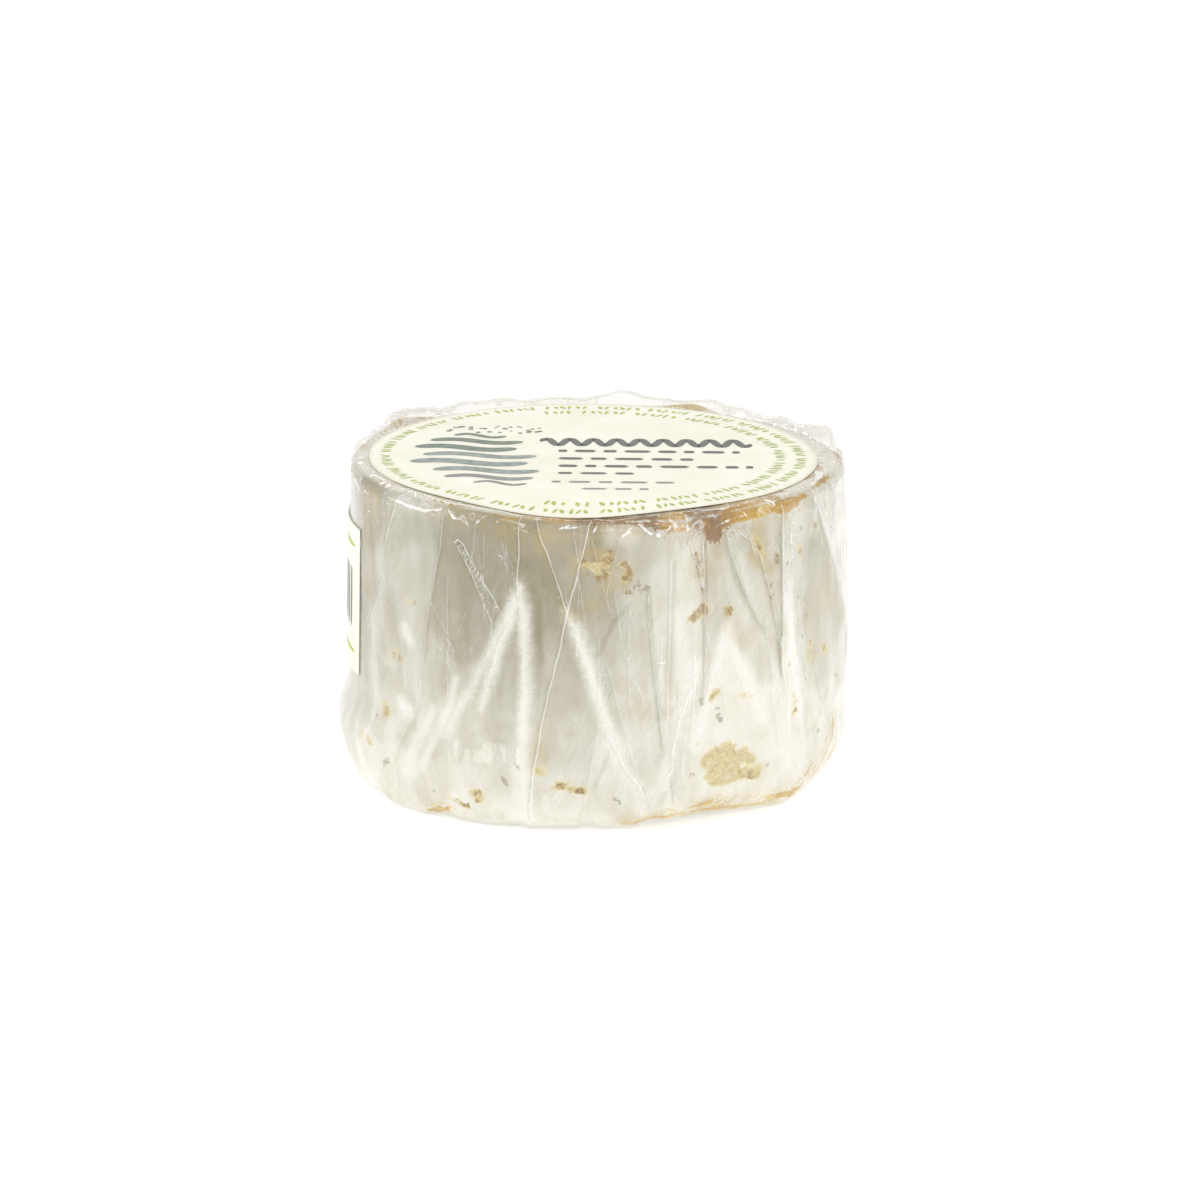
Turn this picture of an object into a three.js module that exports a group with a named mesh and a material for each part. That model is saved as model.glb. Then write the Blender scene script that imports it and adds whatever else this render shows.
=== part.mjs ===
// A small wheel of soft white cheese, wrapped in clear film, with a round paper label on top
// and a paper label stuck to its left side.
//
// Millimetres, +Z up. The origin is the middle of the base. Angles are in degrees round the
// wheel from its front (-Y), positive towards its right (+X). The film lies tight on the cheese,
// so the two are one solid out to the film: its folds are relief in that solid.

import * as THREE from 'three';

const { lerp, smoothstep, degToRad, radToDeg, euclideanModulo } = THREE.MathUtils;

// The wheel
const WHEEL_HEIGHT = 54.2;
const RIM_RADIUS = 42.1; // just under the top edge
const WAIST_RADIUS = 42.8; // at WAIST_HEIGHT, above the settled belly
const WAIST_HEIGHT = 17.5;
const BELLY_RADIUS = 43.8; // at BELLY_HEIGHT, the widest ring
const BELLY_HEIGHT = 10;
const SLUMP = 0.95; // the belly bulges this much more at SLUMP_ANGLE, and less across from it
const SLUMP_ANGLE = -90;
const FOOT_RADIUS = 36.2; // the flat that it stands on
const FOOT_BULGES = [ // where the foot spreads or draws in: angle, half width in degrees, size
  [-52, 34, 4.8],
  [50, 14, 2.8],
  [28, 12, -3.6],
  [146, 30, 2.2],
  [-150, 24, 1.6],
];
const TOP_EDGE = 2.2; // rounding of the top edge
const TOP_TILT = 0.6; // degrees: the top leans down to the right
const SAG = 1.15; // the top edge hangs this much lower at SAG_ANGLE
const SAG_ANGLE = -7;
const SAG_SPREAD = 21; // half width of the sag, in degrees
const LOBES = [ // the wheel is a little out of round: lobes, size, angle of the first lobe
  [2, 0.15, 60],
  [3, 0.2, 0],
  [5, 0.12, 20],
];

// Folds of the film down the side, each straight between two places on the side:
// angle and height of its top, angle and height of its foot, half width, rise (negative: a valley)
const SIDE_FOLDS = [
  [-17.2, 45, -16, 1, 1.9, 0.75],
  [-17.2, 44, -27.5, 18, 2.2, 0.5],
  [-14.2, 54, -6.3, 38.5, 1.9, 0.5],
  [-6.3, 38.5, 10.6, 6, 2, 0.95],
  [-2.4, 54, -12.6, 13.7, 1.9, 0.5],
  [-36, 54, -40, 33, 2.6, 0.45],
  [-54, 54, -58, 12, 2.8, 0.5],
  [14, 46, 13.8, 24, 2.2, -0.6],
  [24.5, 52, 24.3, 24, 2, 0.5],
  [22.3, 29, 17.4, 5, 2.3, 0.8],
  [30.5, 52.5, 46, 26, 2.4, -0.6],
  [49, 54, 46.5, 12, 2, 0.6],
  [58, 52, 76, 30, 2.6, 0.7],
  [100, 54, 84, 22, 2.6, 0.6],
];
const BACK_FOLDS = 13; // and the same kind of folds over the rest of the way round
const BACK_ANGLES = [110, 236];
const BACK_SLANTS = [-9, 9]; // degrees from a fold's top to its foot
const BACK_TOPS = [40, 54]; // heights
const BACK_FEET = [2, 20];
const BACK_WIDTHS = [1.9, 2.6];
const BACK_RISES = [0.45, 0.85];
const BACK_VALLEY = 4; // every fourth one is a valley
const FOLD_FADE = 5; // length over which a fold dies out at its ends
const STEEP_SIDE = 0.6; // a fold lies over to one side: that side is this much narrower

// The film stands up in small peaks along the top edge: angle, half width in degrees, rise
const RIM_PEAKS = [
  [173, 5, 1.6],
  [150, 10, 1],
  [128, 6, 0.8],
  [112, 7, 2.2],
  [-127, 7, 2.1],
  [-148, 9, 0.8],
  [-34, 5, 0.4],
];
const RIM_RUFFLES = 31; // low ruffles between them
const RIM_RUFFLE_RISE = 0.16;
const RIM_RUFFLE_DRIFT = 60; // degrees by which their phase wanders, three times a turn
const RIM_STAND = 0.9; // behind the label the film's edge stands this much above the top

// The film is gathered under the base in folds that run in to the middle
const GATHERS = 17;
const GATHER_DEPTH = 0.5;
const GATHER_DRIFTS = [ // they are unevenly spaced: waves of the spacing, degrees, angle of the first
  [3, 5, -13],
  [5, 3, 0],
];
const GATHER_INNER_RADIUS = 12; // inside this the film's tail is pressed flat
const GATHER_FULL = 0.5; // share of the way out to the foot's edge at which they are full depth
const GATHER_TOP = 9; // height on the side at which they have died out

// Paper labels
const PAPER = 0.22;
const PAPER_GAP = 0.32; // between the paper and the film's solid
const TOP_LABEL_DIAMETER = 76.2;
const TOP_LABEL_SHIFT = -0.6; // its middle lies this far to the right of the wheel's
const TOP_LABEL_WAVES = 6;
const TOP_LABEL_WAVE = 0.3; // rise of the waves at its edge
const TOP_LABEL_CREST = 20; // angle of one wave's crest
const SIDE_LABEL_HEIGHT = 25.4;
const SIDE_LABEL_WIDTH = 38.1;
const SIDE_LABEL_RIGHT_ANGLE = -70.5; // its edge nearest the front
const SIDE_LABEL_MIDDLE_HEIGHT = 32.3;
const LABEL_MARGIN = 3; // the film is drawn smooth this far beyond a label

// How finely the solids are cut into flats
const SECTORS = 144;
const FOOT_RINGS = 4;
const CORNER_RINGS = 7;
const SIDE_RINGS = 16;
const EDGE_RINGS = 4;
const TOP_RINGS = 3;
const LABEL_SECTORS = 72;
const LABEL_RINGS = 4;
const SIDE_LABEL_COLUMNS = 12;
const SIDE_LABEL_ROWS = 6;

const SIDE_LABEL_SPAN = radToDeg(SIDE_LABEL_WIDTH / RIM_RADIUS);
const MM_PER_DEGREE = degToRad(BELLY_RADIUS);

// Spreads numbered things unevenly over a range, the same way every time: steps of the golden
// section, so that no two fall together. Each row of numbers starts at its own place.
const GOLDEN_STEP = 0.618034;
const ROW_STEP = 0.754878;

function scatter(number, row, [low, high]) {
  return lerp(low, high, euclideanModulo(number * GOLDEN_STEP + row * ROW_STEP, 1));
}

// Degrees from one angle to another the short way round, signed.
function turn(from, to) {
  return euclideanModulo(to - from + 180, 360) - 180;
}

function bell(distance, halfWidth) {
  return Math.exp(-((distance / halfWidth) ** 2));
}

function backFolds() {
  const [first, last] = BACK_ANGLES;
  const spacing = (last - first) / BACK_FOLDS;
  const folds = [];
  for (let i = 0; i < BACK_FOLDS; i += 1) {
    const top = first + spacing * (i + scatter(i, 0, [0, 0.7]));
    const foot = top + scatter(i, 1, BACK_SLANTS);
    const rise = scatter(i, 2, BACK_RISES) * (i % BACK_VALLEY === BACK_VALLEY - 1 ? -1 : 1);
    const halfWidth = scatter(i, 3, BACK_WIDTHS);
    folds.push([top, scatter(i, 4, BACK_TOPS), foot, scatter(i, 5, BACK_FEET), halfWidth, rise]);
  }
  return folds;
}

const FOLDS = [...SIDE_FOLDS, ...backFolds()];

// Rise of one fold at a place on the side.
function foldRise([topAngle, topHeight, footAngle, footHeight, halfWidth, rise], angle, height) {
  const along = new THREE.Vector2(turn(topAngle, footAngle) * MM_PER_DEGREE, footHeight - topHeight);
  const length = along.length();
  along.divideScalar(length);
  const place = new THREE.Vector2(turn(topAngle, angle) * MM_PER_DEGREE, height - topHeight);
  const reach = place.dot(along);
  const across = place.cross(along);
  const width = across * rise > 0 ? halfWidth : halfWidth * STEEP_SIDE;
  const fade = smoothstep(reach, -FOLD_FADE, 0) * (1 - smoothstep(reach, length, length + FOLD_FADE));
  return rise * fade * bell(across, width);
}

// 1 where the side label draws the film smooth, 0 away from it.
function underSideLabel(angle, height) {
  const middle = SIDE_LABEL_RIGHT_ANGLE - SIDE_LABEL_SPAN / 2;
  const beyondEdge = (Math.abs(turn(middle, angle)) - SIDE_LABEL_SPAN / 2) * MM_PER_DEGREE;
  const beyondTop = Math.abs(height - SIDE_LABEL_MIDDLE_HEIGHT) - SIDE_LABEL_HEIGHT / 2;
  const beyond = Math.max(beyondEdge, beyondTop);
  return 1 - smoothstep(beyond, 0, LABEL_MARGIN);
}

// Everything that the film's folds add to the side, outwards.
function sideRelief(angle, height) {
  let rise = 0;
  for (const fold of FOLDS) {
    rise += foldRise(fold, angle, height);
  }
  const gather = GATHER_DEPTH * gatherWave(angle) * (1 - smoothstep(height, 0, GATHER_TOP));
  return rise * (1 - underSideLabel(angle, height)) - gather;
}

// The gathers under the base: 0 on the film's flats, 1 at the bottom of the furrows between them.
function gatherWave(angle) {
  let drifted = angle;
  for (const [waves, size, first] of GATHER_DRIFTS) {
    drifted += size * Math.sin(degToRad(waves * (angle - first)));
  }
  return Math.max(0, Math.cos(degToRad(drifted * GATHERS))) ** 2;
}

function rimPeak(angle) {
  const drift = RIM_RUFFLE_DRIFT * Math.sin(degToRad(3 * angle));
  let rise = RIM_RUFFLE_RISE * Math.sin(degToRad(RIM_RUFFLES * angle + drift));
  rise += RIM_STAND * Math.max(0, -Math.cos(degToRad(angle)));
  for (const [at, halfWidth, height] of RIM_PEAKS) {
    rise += height * bell(turn(at, angle), halfWidth);
  }
  return rise;
}

// How far the wheel is out of round at an angle.
function lobes(angle) {
  let sum = 0;
  for (const [count, size, first] of LOBES) {
    sum += size * Math.cos(degToRad(count * (angle - first)));
  }
  return sum;
}

// Height of the top, which leans, and hangs a little over the front edge.
function topHeight(angle, radius) {
  const lean = Math.tan(degToRad(TOP_TILT)) * radius * Math.sin(degToRad(angle));
  const hang = SAG * bell(turn(SAG_ANGLE, angle), SAG_SPREAD);
  return WHEEL_HEIGHT - lean - hang * smoothstep(radius, TOP_LABEL_DIAMETER / 3, RIM_RADIUS - TOP_EDGE);
}

function footRadius(angle) {
  let radius = FOOT_RADIUS;
  for (const [at, halfWidth, size] of FOOT_BULGES) {
    radius += size * bell(turn(at, angle), halfWidth);
  }
  return radius;
}

function slump(angle) {
  return SLUMP * Math.cos(degToRad(angle - SLUMP_ANGLE));
}

// Half width of the side at an angle and height, before folds.
function sideRadius(angle, height) {
  const settled = smoothstep(height, BELLY_HEIGHT, WAIST_HEIGHT);
  const tapered = (height - WAIST_HEIGHT) / (WHEEL_HEIGHT - TOP_EDGE - WAIST_HEIGHT);
  return height < WAIST_HEIGHT
    ? lerp(BELLY_RADIUS + slump(angle), WAIST_RADIUS, settled) + lobes(angle)
    : lerp(WAIST_RADIUS, RIM_RADIUS, tapered) + lobes(angle);
}

function onWheel(angle, radius, height) {
  const turned = degToRad(angle);
  return new THREE.Vector3(radius * Math.sin(turned), -radius * Math.cos(turned), height);
}

// The zones of the film's surface, from the middle of the base to the middle of the top.
// Each gives the place for an angle and a share of the way through the zone.
function footPoint(angle, share) {
  const radius = lerp(GATHER_INNER_RADIUS, footRadius(angle), share);
  const furrow = GATHER_DEPTH * gatherWave(angle) * smoothstep(share, 0, GATHER_FULL);
  return onWheel(angle, radius, furrow);
}

function cornerPoint(angle, share) {
  const slope = degToRad(90 * share);
  const foot = footRadius(angle);
  const radius = lerp(foot, sideRadius(angle, BELLY_HEIGHT), Math.sin(slope));
  const height = BELLY_HEIGHT * (1 - Math.cos(slope));
  const rise = sideRelief(angle, height);
  const lifted = Math.max(0, height - rise * Math.cos(slope));
  return onWheel(angle, radius + rise * Math.sin(slope), lifted);
}

function sidePoint(angle, share) {
  const height = lerp(BELLY_HEIGHT, WHEEL_HEIGHT - TOP_EDGE, share);
  const radius = sideRadius(angle, height) + sideRelief(angle, height);
  const edgeHeight = topHeight(angle, radius) - WHEEL_HEIGHT;
  return onWheel(angle, radius, height + edgeHeight * share);
}

// A bump on the upper part of the top edge's rounding: 0 at both ends, 1 at its crest.
const BUMP_SCALE = 1.5 * Math.sqrt(3);

function edgeBump(slope) {
  return BUMP_SCALE * Math.cos(slope) * Math.sin(slope) ** 2;
}

function edgePoint(angle, share) {
  const slope = degToRad(90 * share);
  const rounding = TOP_EDGE + rimPeak(angle) * edgeBump(slope);
  const inner = RIM_RADIUS - TOP_EDGE + lobes(angle) + sideRelief(angle, WHEEL_HEIGHT) * Math.cos(slope);
  const radius = inner + rounding * Math.cos(slope);
  return onWheel(angle, radius, topHeight(angle, radius) - TOP_EDGE + rounding * Math.sin(slope));
}

function topPoint(angle, share) {
  const radius = lerp(RIM_RADIUS - TOP_EDGE + lobes(angle), TOP_LABEL_DIAMETER / 8, share);
  return onWheel(angle, radius, topHeight(angle, radius));
}

// A closed body from rings of places, capped by a fan at each end.
function ringsBody(rings, firstCap, lastCap) {
  const count = rings[0].length;
  const places = [firstCap, ...rings.flat(), lastCap];
  const last = places.length - 1;
  const faces = [];
  for (let i = 0; i < count; i += 1) {
    const next = (i + 1) % count;
    faces.push(0, 1 + next, 1 + i);
    faces.push(last, last - count + i, last - count + next);
    for (let ring = 0; ring + 1 < rings.length; ring += 1) {
      const below = 1 + ring * count;
      const above = below + count;
      faces.push(below + i, below + next, above + next);
      faces.push(below + i, above + next, above + i);
    }
  }
  const geometry = new THREE.BufferGeometry().setFromPoints(places);
  geometry.setIndex(faces);
  geometry.computeVertexNormals();
  return geometry;
}

function ring(point, share) {
  return Array.from({ length: SECTORS }, (_, i) => point((i * 360) / SECTORS, share));
}

function wrappedCheeseGeometry() {
  const rings = [];
  const zones = [
    [footPoint, FOOT_RINGS],
    [cornerPoint, CORNER_RINGS],
    [sidePoint, SIDE_RINGS],
    [edgePoint, EDGE_RINGS],
  ];
  for (const [point, steps] of zones) {
    for (let step = 0; step < steps; step += 1) {
      rings.push(ring(point, step / steps));
    }
  }
  for (let step = 0; step <= TOP_RINGS; step += 1) {
    rings.push(ring(topPoint, step / TOP_RINGS));
  }
  return ringsBody(rings, new THREE.Vector3(0, 0, 0), new THREE.Vector3(0, 0, WHEEL_HEIGHT));
}

// Height of the top label's underside, by the angle and radius on the label: it follows the
// film and waves a little at its edge.
function topLabelUnderside(angle, radius) {
  const edge = smoothstep(radius, TOP_LABEL_DIAMETER / 4, TOP_LABEL_DIAMETER / 2);
  const crest = 0.5 + 0.5 * Math.cos(degToRad(TOP_LABEL_WAVES * (angle - TOP_LABEL_CREST)));
  return topHeight(angle, radius) + PAPER_GAP + TOP_LABEL_WAVE * crest * edge;
}

function topLabelGeometry() {
  const outer = TOP_LABEL_DIAMETER / 2;
  const face = (share, lift) => Array.from({ length: LABEL_SECTORS }, (_, i) => {
    const angle = (i * 360) / LABEL_SECTORS;
    const radius = outer * share;
    const place = onWheel(angle, radius, topLabelUnderside(angle, radius) + lift);
    place.x += TOP_LABEL_SHIFT;
    return place;
  });
  const rings = [];
  for (let step = 1; step <= LABEL_RINGS; step += 1) {
    rings.push(face(step / LABEL_RINGS, 0));
  }
  for (let step = LABEL_RINGS; step >= 1; step -= 1) {
    rings.push(face(step / LABEL_RINGS, PAPER));
  }
  const middle = topLabelUnderside(0, 0);
  return ringsBody(rings, new THREE.Vector3(0, 0, middle), new THREE.Vector3(0, 0, middle + PAPER));
}

// The side label is a grid bent to the side of the wheel, closed round its four edges.
function sideLabelGeometry() {
  const columns = SIDE_LABEL_COLUMNS;
  const rows = SIDE_LABEL_ROWS;
  const places = [];
  for (const lift of [0, PAPER]) {
    for (let row = 0; row <= rows; row += 1) {
      for (let column = 0; column <= columns; column += 1) {
        const angle = SIDE_LABEL_RIGHT_ANGLE - SIDE_LABEL_SPAN * (1 - column / columns);
        const height = SIDE_LABEL_MIDDLE_HEIGHT + SIDE_LABEL_HEIGHT * (row / rows - 0.5);
        const radius = sideRadius(angle, height) + PAPER_GAP + lift;
        places.push(onWheel(angle, radius, height));
      }
    }
  }
  const at = (layer, row, column) => (layer * (rows + 1) + row) * (columns + 1) + column;
  const faces = [];
  const quad = (a, b, c, d) => faces.push(a, b, c, a, c, d);
  for (let row = 0; row < rows; row += 1) {
    for (let column = 0; column < columns; column += 1) {
      quad(at(1, row, column), at(1, row, column + 1), at(1, row + 1, column + 1), at(1, row + 1, column));
      quad(at(0, row, column), at(0, row + 1, column), at(0, row + 1, column + 1), at(0, row, column + 1));
    }
    quad(at(0, row, 0), at(1, row, 0), at(1, row + 1, 0), at(0, row + 1, 0));
    quad(at(1, row, columns), at(0, row, columns), at(0, row + 1, columns), at(1, row + 1, columns));
  }
  for (let column = 0; column < columns; column += 1) {
    quad(at(0, 0, column), at(0, 0, column + 1), at(1, 0, column + 1), at(1, 0, column));
    quad(at(1, rows, column), at(1, rows, column + 1), at(0, rows, column + 1), at(0, rows, column));
  }
  const geometry = new THREE.BufferGeometry().setFromPoints(places);
  geometry.setIndex(faces);
  geometry.computeVertexNormals();
  return geometry;
}

// White rind under clear film: the film's gloss over an ivory ground.
function wrappedRindMaterial() {
  return new THREE.MeshStandardMaterial({ color: '#e4e0d4', roughness: 0.3, metalness: 0 });
}

function creamPaperMaterial() {
  return new THREE.MeshStandardMaterial({ color: '#f6f2de', roughness: 0.6, metalness: 0 });
}

function named(name, geometry, material) {
  const mesh = new THREE.Mesh(geometry, material);
  mesh.name = name;
  return mesh;
}

const cheeseWheel = new THREE.Group();
cheeseWheel.add(
  named('wrapped_cheese', wrappedCheeseGeometry(), wrappedRindMaterial()),
  named('top_label', topLabelGeometry(), creamPaperMaterial()),
  named('side_label', sideLabelGeometry(), creamPaperMaterial()),
);

export default cheeseWheel;
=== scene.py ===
"""A small wheel of soft white cheese, wrapped in clear film, with two paper labels.

Sizes are millimetres until a mesh is made. Angles are degrees round the wheel from its front
(-Y), positive towards its right (+X). Each section makes one piece, in the order in which the
real thing is put together: the cheese, the film round it, then the labels stuck on the film.
"""

import bpy
import numpy as np
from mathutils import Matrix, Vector, noise


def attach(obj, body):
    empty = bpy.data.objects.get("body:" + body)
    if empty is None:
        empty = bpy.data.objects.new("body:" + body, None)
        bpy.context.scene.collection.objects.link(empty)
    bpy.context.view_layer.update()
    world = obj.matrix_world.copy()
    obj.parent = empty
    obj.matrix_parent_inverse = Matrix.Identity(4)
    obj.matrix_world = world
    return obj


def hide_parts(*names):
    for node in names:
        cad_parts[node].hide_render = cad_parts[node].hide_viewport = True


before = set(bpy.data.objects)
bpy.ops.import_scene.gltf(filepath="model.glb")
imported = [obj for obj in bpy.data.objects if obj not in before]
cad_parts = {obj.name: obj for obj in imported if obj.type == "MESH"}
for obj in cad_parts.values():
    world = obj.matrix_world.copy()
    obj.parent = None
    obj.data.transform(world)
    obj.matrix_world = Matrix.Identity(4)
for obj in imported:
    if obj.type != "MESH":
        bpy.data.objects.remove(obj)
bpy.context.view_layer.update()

# ---------------------------------------------------------------------------------------------
# The view: a long lens, a little above the table, looking straight at the front of the wheel.
# ---------------------------------------------------------------------------------------------
METRES = 0.001
VIEW_TARGET = (0, 0, 27)
VIEW_DISTANCE = 900
VIEW_ELEVATION = 15.5
SENSOR = 36
LENS = 157.7
VIEW_SHIFT = (0.0026, 0.0091)
NEAR_LIMIT = 50


def sine(degrees):
    return np.sin(np.radians(degrees))


def cosine(degrees):
    return np.cos(np.radians(degrees))


def put_in_scene(name, data):
    """An object in the scene, for a lens, a mesh or a lamp."""
    made = bpy.data.objects.new(name, data)
    bpy.context.scene.collection.objects.link(made)
    return made


lens = bpy.data.cameras.new("view")
lens.sensor_width = SENSOR
lens.lens = LENS
lens.shift_x, lens.shift_y = VIEW_SHIFT
lens.clip_start = NEAR_LIMIT * METRES
camera = put_in_scene("view", lens)
target = Vector(VIEW_TARGET) * METRES
back = Vector((0, -cosine(VIEW_ELEVATION), sine(VIEW_ELEVATION))) * VIEW_DISTANCE * METRES
camera.location = target + back
camera.rotation_euler = (np.pi / 2 - np.radians(VIEW_ELEVATION), 0, 0)
bpy.context.scene.camera = camera

# ---------------------------------------------------------------------------------------------
# The cheese: a soft ripened wheel with a white bloomy rind. It was drained in a small mould, so
# its top edge is crisp and its foot has settled and spread. Where the film presses on the rind
# it is damp and beige, and along the film's folds the bloom has grown thick and white. Some of
# the beige is painted shade: beside some folds, and towards the top edge.
# ---------------------------------------------------------------------------------------------
WHEEL_HEIGHT = 54.2
RIM_RADIUS = 42.1
WAIST_RADIUS = 42.8
WAIST_HEIGHT = 17.5
BELLY_RADIUS = 43.8
BELLY_HEIGHT = 10
SLUMP = 0.95
SLUMP_ANGLE = -90
FOOT_RADIUS = 36.2
FOOT_BULGES = [  # angle, half width in degrees, size
    (-52, 34, 4.8),
    (50, 14, 2.8),
    (28, 12, -3.6),
    (146, 30, 2.2),
    (-150, 24, 1.6),
]
TOP_EDGE = 2.2
TOP_TILT = 0.6
SAG = 1.15
SAG_ANGLE = -7
SAG_SPREAD = 21
LOBES = [(2, 0.15, 60), (3, 0.2, 0), (5, 0.12, 20)]  # lobes, size, angle of the first
FRONT_FOLDS = [  # angle and height of the top, then of the foot, half width, rise
    (-17.2, 45, -16, 1, 1.9, 0.75),
    (-17.2, 44, -27.5, 18, 2.2, 0.5),
    (-14.2, 54, -6.3, 38.5, 1.9, 0.5),
    (-6.3, 38.5, 10.6, 6, 2, 0.95),
    (-2.4, 54, -12.6, 13.7, 1.9, 0.5),
    (-36, 54, -40, 33, 2.6, 0.45),
    (-54, 54, -58, 12, 2.8, 0.5),
    (14, 46, 13.8, 24, 2.2, -0.6),
    (24.5, 52, 24.3, 24, 2, 0.5),
    (22.3, 29, 17.4, 5, 2.3, 0.8),
    (30.5, 52.5, 46, 26, 2.4, -0.6),
    (49, 54, 46.5, 12, 2, 0.6),
    (58, 52, 76, 30, 2.6, 0.7),
    (100, 54, 84, 22, 2.6, 0.6),
]
BACK_FOLDS = 13
BACK_ANGLES = (110, 236)
BACK_DRIFT = (0, 0.7)
BACK_SLANTS = (-9, 9)
BACK_TOPS = (40, 54)
BACK_FEET = (2, 20)
BACK_WIDTHS = (1.9, 2.6)
BACK_RISES = (0.45, 0.85)
BACK_VALLEY = 4
FOLD_FADE = 5
STEEP_SIDE = 0.6
FOLD_CROWN = 1.0  # where folds meet, only a share of what they rise above this is left
CROWN_SHARE = 0.25
RIM_PEAKS = [  # angle, half width in degrees, rise
    (173, 5, 1.6),
    (150, 10, 1),
    (128, 6, 0.8),
    (112, 7, 2.2),
    (-127, 7, 2.1),
    (-148, 9, 0.8),
    (-34, 5, 0.4),
]
PEAK_NORM = 1.5 * 3**0.5  # makes the middle of a peak as high as it says
RIM_RUFFLES = 31
RIM_RUFFLE_RISE = 0.16
RIM_RUFFLE_DRIFT = 60
RIM_STAND = 0.9
GATHERS = 17
GATHER_DEPTH = 0.5
GATHER_DRIFTS = [(3, 5, -13), (5, 3, 0)]  # waves of the spacing, degrees, angle of the first
GATHER_INNER_RADIUS = 12
GATHER_FULL = 0.5
GATHER_TOP = 9
TOP_LABEL_RADIUS = 38.1
TOP_LABEL_MARGIN = 2
TOP_LABEL_HOLD = (40, 52)  # only above these heights does the top label hold anything down
SIDE_LABEL_HEIGHT = 25.4
SIDE_LABEL_WIDTH = 38.1
SIDE_LABEL_RIGHT_ANGLE = -70.5
SIDE_LABEL_MIDDLE_HEIGHT = 32.3
SIDE_LABEL_MARGIN = 3
SIDE_LABEL_SPAN = np.degrees(SIDE_LABEL_WIDTH / RIM_RADIUS)
SIDE_LABEL_MIDDLE = SIDE_LABEL_RIGHT_ANGLE - SIDE_LABEL_SPAN / 2
MM_PER_DEGREE = np.radians(BELLY_RADIUS)
TOP_RINGS = (0, 0.65, 1), (0, 0.09, 1)  # rings lie closest where the top shows round the label
FRONT_CROWDING = 0.25
GOLDEN_STEP = 0.618034
ROW_STEP = 0.754878


def between(low, high, share):
    return low + (high - low) * share


def ease(value, low, high):
    """0 below low, 1 above high, and a smooth rise between them."""
    share = np.clip((value - low) / (high - low), 0, 1)
    return share * share * (3 - 2 * share)


def bell(distance, half_width):
    return np.exp(-((distance / half_width) ** 2))


def turn(start, end):
    """Degrees from one angle to another the short way round, signed."""
    return (end - start + 180) % 360 - 180


def humps(angle, table):
    """The sum of humps round the wheel, each with its angle, half width in degrees and size."""
    return sum(size * bell(turn(at, angle), width) for at, width, size in table)


def scatter(number, row, limits):
    """Spreads numbered things unevenly over a range, the same way every time."""
    return between(*limits, (number * GOLDEN_STEP + row * ROW_STEP) % 1)


def spread_out(count, angles, row, drift):
    """Numbers and angles of things that stand unevenly spaced over a stretch of the side."""
    spacing = (angles[1] - angles[0]) / count
    return [(i, angles[0] + spacing * (i + scatter(i, row, drift))) for i in range(count)]


def back_folds():
    folds = []
    for i, top in spread_out(BACK_FOLDS, BACK_ANGLES, 0, BACK_DRIFT):
        foot = top + scatter(i, 1, BACK_SLANTS)
        valley = i % BACK_VALLEY == BACK_VALLEY - 1
        rise = scatter(i, 2, BACK_RISES) * (-1 if valley else 1)
        width = scatter(i, 3, BACK_WIDTHS)
        heights = scatter(i, 4, BACK_TOPS), scatter(i, 5, BACK_FEET)
        folds.append((top, heights[0], foot, heights[1], width, rise))
    return folds


FOLDS = FRONT_FOLDS + back_folds()


def along_line(line, angle, height):
    """Where a place lies by a straight line down the side: how far along it, how far across it
    (positive towards the right of a line that runs down), and the line's length."""
    top_angle, top_height, foot_angle, foot_height = line
    run = turn(top_angle, foot_angle) * MM_PER_DEGREE
    drop = foot_height - top_height
    length = np.hypot(run, drop)
    x = turn(top_angle, angle) * MM_PER_DEGREE
    y = height - top_height
    return (x * run + y * drop) / length, (x * drop - y * run) / length, length


def fold_rise(fold, angle, height):
    half_width, rise = fold[4:]
    reach, across, length = along_line(fold[:4], angle, height)
    width = np.where(across * rise > 0, half_width, half_width * STEEP_SIDE)
    fade = ease(reach, -FOLD_FADE, 0) * (1 - ease(reach, length, length + FOLD_FADE))
    return rise * fade * bell(across, width)


def under_side_label(angle, height, margin=SIDE_LABEL_MARGIN):
    """1 where the side label draws the film smooth, 0 away from it."""
    beyond_edge = (np.abs(turn(SIDE_LABEL_MIDDLE, angle)) - SIDE_LABEL_SPAN / 2) * MM_PER_DEGREE
    beyond_top = np.abs(height - SIDE_LABEL_MIDDLE_HEIGHT) - SIDE_LABEL_HEIGHT / 2
    return 1 - ease(np.maximum(beyond_edge, beyond_top), 0, margin)


def under_top_label(radius, height):
    """1 where the top label presses the film on the rind, 0 away from it."""
    under = ease(radius, TOP_LABEL_RADIUS + TOP_LABEL_MARGIN, TOP_LABEL_RADIUS)
    return ease(height, *TOP_LABEL_HOLD) * under


def gather_wave(angle):
    """The gathers under the base: 0 on the film's flats, 1 at the bottom of the furrows."""
    drift = sum(size * sine(waves * (angle - first)) for waves, size, first in GATHER_DRIFTS)
    return np.maximum(0, cosine((angle + drift) * GATHERS)) ** 2


def side_relief(angle, height, share=1):
    """Everything that the folds add to the side, outwards. share is how much of a fold shows."""
    rise = sum(fold_rise(fold, angle, height) for fold in FOLDS)
    rise = np.minimum(rise, between(FOLD_CROWN, rise, CROWN_SHARE))
    gather = GATHER_DEPTH * gather_wave(angle) * (1 - ease(height, 0, GATHER_TOP))
    return share * rise * (1 - under_side_label(angle, height)) - gather


def rim_peak(angle):
    rise = RIM_RUFFLE_RISE * sine(RIM_RUFFLES * angle + RIM_RUFFLE_DRIFT * sine(3 * angle))
    return rise + RIM_STAND * np.maximum(0, -cosine(angle)) + humps(angle, RIM_PEAKS)


def lobes(angle):
    return sum(size * cosine(count * (angle - first)) for count, size, first in LOBES)


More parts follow.
